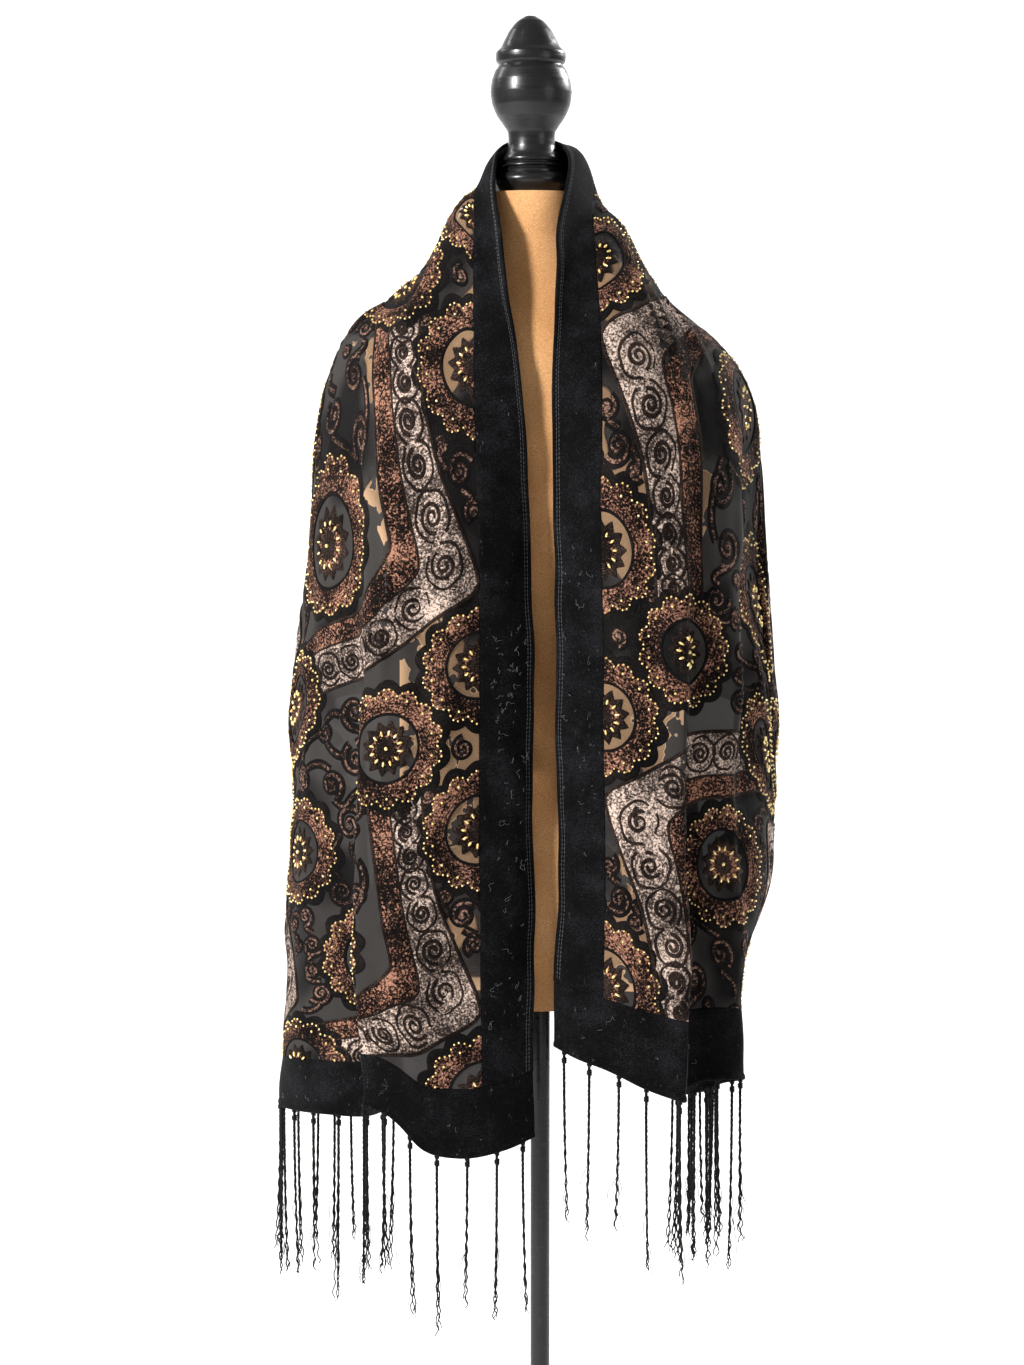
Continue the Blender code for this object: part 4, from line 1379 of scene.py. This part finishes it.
def add_fringe(side):
    """Knotted strands of twisted silk, each with its plies, knot and wispy ends."""
    bag = Pieces()
    end = -LEFT_LENGTH if side == "left" else RIGHT_LENGTH
    rng = np.random.default_rng(11 if side == "left" else 23)
    count = round(CLOTH_WIDTH / STRAND_PITCH)
    pitch = CLOTH_WIDTH / count
    t = np.linspace(0, 1, 40)[:, None]
    opened = np.clip((t - 0.70) / 0.30, 0, 1) ** 2
    span = np.linspace(0, 1, 12)[:, None]
    for index in range(count):
        root = cloth.at(np.array([end]), np.array([pitch * (index + 0.5)]))[0]
        length = strand_reach(index)
        sway = np.array([0.003 * math.sin(index * 1.7 + 2.0), 0.0015 * math.sin(index * 2.9), 0.0])
        knot_at = 0.035 + 0.02 * rng.random()
        for ply in range(PLIES):
            phase = 2 * math.pi * ply / PLIES + index
            twist = phase + 2 * math.pi * PLY_TURNS * t
            spread = PLY_SPREAD + LOOSE_SPREAD * opened * rng.uniform(0.2, 1.0)
            loose = rng.normal(0, 0.0012, 3) * t**2
            path = root + sway * t**2 + loose + down(length * rng.uniform(0.93, 1.0)) * t
            path[:, 0:1] += spread * np.cos(twist)
            path[:, 1:2] += spread * np.sin(twist)
            path[0] = root
            tube(bag, path, PLY_RADIUS * (1 - 0.45 * t[:, 0] ** 2))
        tube(bag, knot_path(root, sway, length, 0.0), HEM_KNOT_RADIUS, 6)
        tube(bag, knot_path(root, sway, length, knot_at), KNOT_RADIUS, 6)
        for _ in range(int(rng.integers(2, 5))):
            start = rng.uniform(0.45, 0.85)
            first = root + sway * start**2 + down(length * start)
            aside = (rng.normal(0, 0.004), rng.normal(0, 0.003))
            drift = np.array([*aside, -length * rng.uniform(0.12, 0.3)])
            curl = 0.0012 * np.sin(span * math.pi * rng.uniform(1.0, 3.0)) * np.array([1.0, 0.6, 0.0])
            path = first + drift * span + curl
            path[:, 2] = np.maximum(path[:, 2], root[2] - length)
            tube(bag, path, WISP_RADIUS, 3)
    return bag.build("fringe_" + side + "_strands", SILK, "fringe_silk")


def knot_path(root, sway, length, knot_at):
    t = np.linspace(0, 1, 22)[:, None]
    angle = 2 * math.pi * KNOT_TURNS * t
    middle = root + sway * knot_at**2 + down(length * knot_at)
    round_it = (KNOT_RADIUS * np.cos(angle), KNOT_RADIUS * np.sin(angle))
    return middle + np.hstack([*round_it, KNOT_HEIGHT * (0.5 - t)])


HEM_THREAD_INSET = 0.0012
HEM_THREAD_STEP = 0.0012
HEM_THREAD_RADIUS = 0.00045
HEM_LOOP = 0.0042


def add_hem_thread():
    """A light twisted thread along both hems, caught down by small loops."""
    bag = Pieces()
    for end, seam in ((-LEFT_LENGTH, LEFT_SEAM), (RIGHT_LENGTH, RIGHT_SEAM)):
        across = np.arange(0.001, CLOTH_WIDTH - 0.001, HEM_THREAD_STEP)
        turn = across / HEM_LOOP * 2 * math.pi
        along = end + math.copysign(HEM_THREAD_INSET, seam - end) + 0.0005 * np.sin(turn)
        path = cloth.at(along, across, 0.0010 + 0.0004 * np.cos(turn))
        tube(bag, path, HEM_THREAD_RADIUS, 4)
    return bag.build("hem_thread", STITCH, "black_velvet")


# All pieces, and the parts of model.glb that they hide

ground = add_ground()
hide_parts("panel_left", "panel_back", "panel_right")
pattern = add_medallions() + add_bands() + add_vines()

inner_border = add_long_border("inner_border_velvet", 0.0, LONG_BORDER)
outer_border = add_long_border("outer_border_velvet", CLOTH_WIDTH, OUTER_SEAM)
left_end = add_end_border("left_end_velvet", -LEFT_LENGTH, LEFT_SEAM)
right_end = add_end_border("right_end_velvet", RIGHT_LENGTH, RIGHT_SEAM)
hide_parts("border_inner")
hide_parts("border_outer")
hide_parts("border_end_left")
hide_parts("border_end_right")

stitches = add_stitches()
lint = add_lint()
hem_thread = add_hem_thread()
left_fringe = add_fringe("left")
right_fringe = add_fringe("right")
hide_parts("fringe_left")
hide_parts("fringe_right")


# Floor, light and camera

FLOOR_FRONT = -6.0
FLOOR_BACK = 3.0
FLOOR_SIDE = 8.0
BACKDROP_BEND = 2.0
BACKDROP_TOP = 7.0


def add_floor():
    """A pale floor that curves up into a backdrop far behind."""
    profile = [(FLOOR_FRONT, 0.0), (FLOOR_BACK, 0.0)]
    for a in np.linspace(0.1, math.pi / 2, 12):
        rise = BACKDROP_BEND - BACKDROP_BEND * math.cos(a)
        profile.append((FLOOR_BACK + BACKDROP_BEND * math.sin(a), rise))
    profile.append((FLOOR_BACK + BACKDROP_BEND, BACKDROP_TOP))
    points = [(x, y, z) for y, z in profile for x in (-FLOOR_SIDE, FLOOR_SIDE)]
    faces = [(2 * i, 2 * i + 1, 2 * i + 3, 2 * i + 2) for i in range(len(profile) - 1)]
    mesh = bpy.data.meshes.new("floor")
    mesh.from_pydata(points, [], faces)
    mesh.shade_smooth()
    floor = bpy.data.objects.new("floor", mesh)
    bpy.context.scene.collection.objects.link(floor)
    finish, _, shader = new_material("pale_floor")
    finish_values(shader, Base_Color=(*grey(0.86), 1.0), Roughness=0.8)
    mesh.materials.append(finish)


def look_at(made, place, target):
    """Puts a light or camera in the scene at a place, facing a target."""
    made.location = place
    made.rotation_euler = (Vector(target) - Vector(place)).to_track_quat("-Z", "Y").to_euler()
    bpy.context.scene.collection.objects.link(made)


LIGHTS = (
    # (name, place, target, size, power)
    ("key", (-2.6, -2.1, 2.7), (0.0, 0.0, 0.95), 0.6, 270.0),
    ("fill", (3.0, -2.4, 1.6), (0.0, 0.0, 0.9), 2.0, 16.0),
    ("rim", (2.0, 1.6, 2.4), (0.0, 0.0, 1.0), 0.6, 90.0),
    ("backdrop_left", (-3.0, 1.6, 3.4), (-0.5, 5.0, 1.4), 2.0, 100.0),
    ("backdrop_right", (3.0, 1.6, 3.4), (0.5, 5.0, 1.4), 2.0, 100.0),
)
WORLD_STRENGTH = 0.34
CAMERA_PLACE = (-0.0255, -3.1, 1.15)
CAMERA_TARGET = (-0.0255, -0.1, 0.93)
SENSOR_HEIGHT = 24.0
FOCAL_LENGTH = 60.8

add_floor()
for name, place, target, size, power in LIGHTS:
    light = bpy.data.lights.new(name, "AREA")
    light.shape = "DISK"
    light.size = size
    light.energy = power
    look_at(bpy.data.objects.new(name, light), place, target)

world = bpy.data.worlds.new("studio")
world.use_nodes = True
background = world.node_tree.nodes["Background"]
background.inputs["Color"].default_value = (1.0, 1.0, 1.0, 1.0)
background.inputs["Strength"].default_value = WORLD_STRENGTH
bpy.context.scene.world = world
bpy.context.scene.view_settings.view_transform = "Standard"

lens = bpy.data.cameras.new("camera")
lens.sensor_fit = "VERTICAL"
lens.sensor_height = SENSOR_HEIGHT
lens.lens = FOCAL_LENGTH
camera = bpy.data.objects.new("camera", lens)
look_at(camera, CAMERA_PLACE, CAMERA_TARGET)
bpy.context.scene.camera = camera
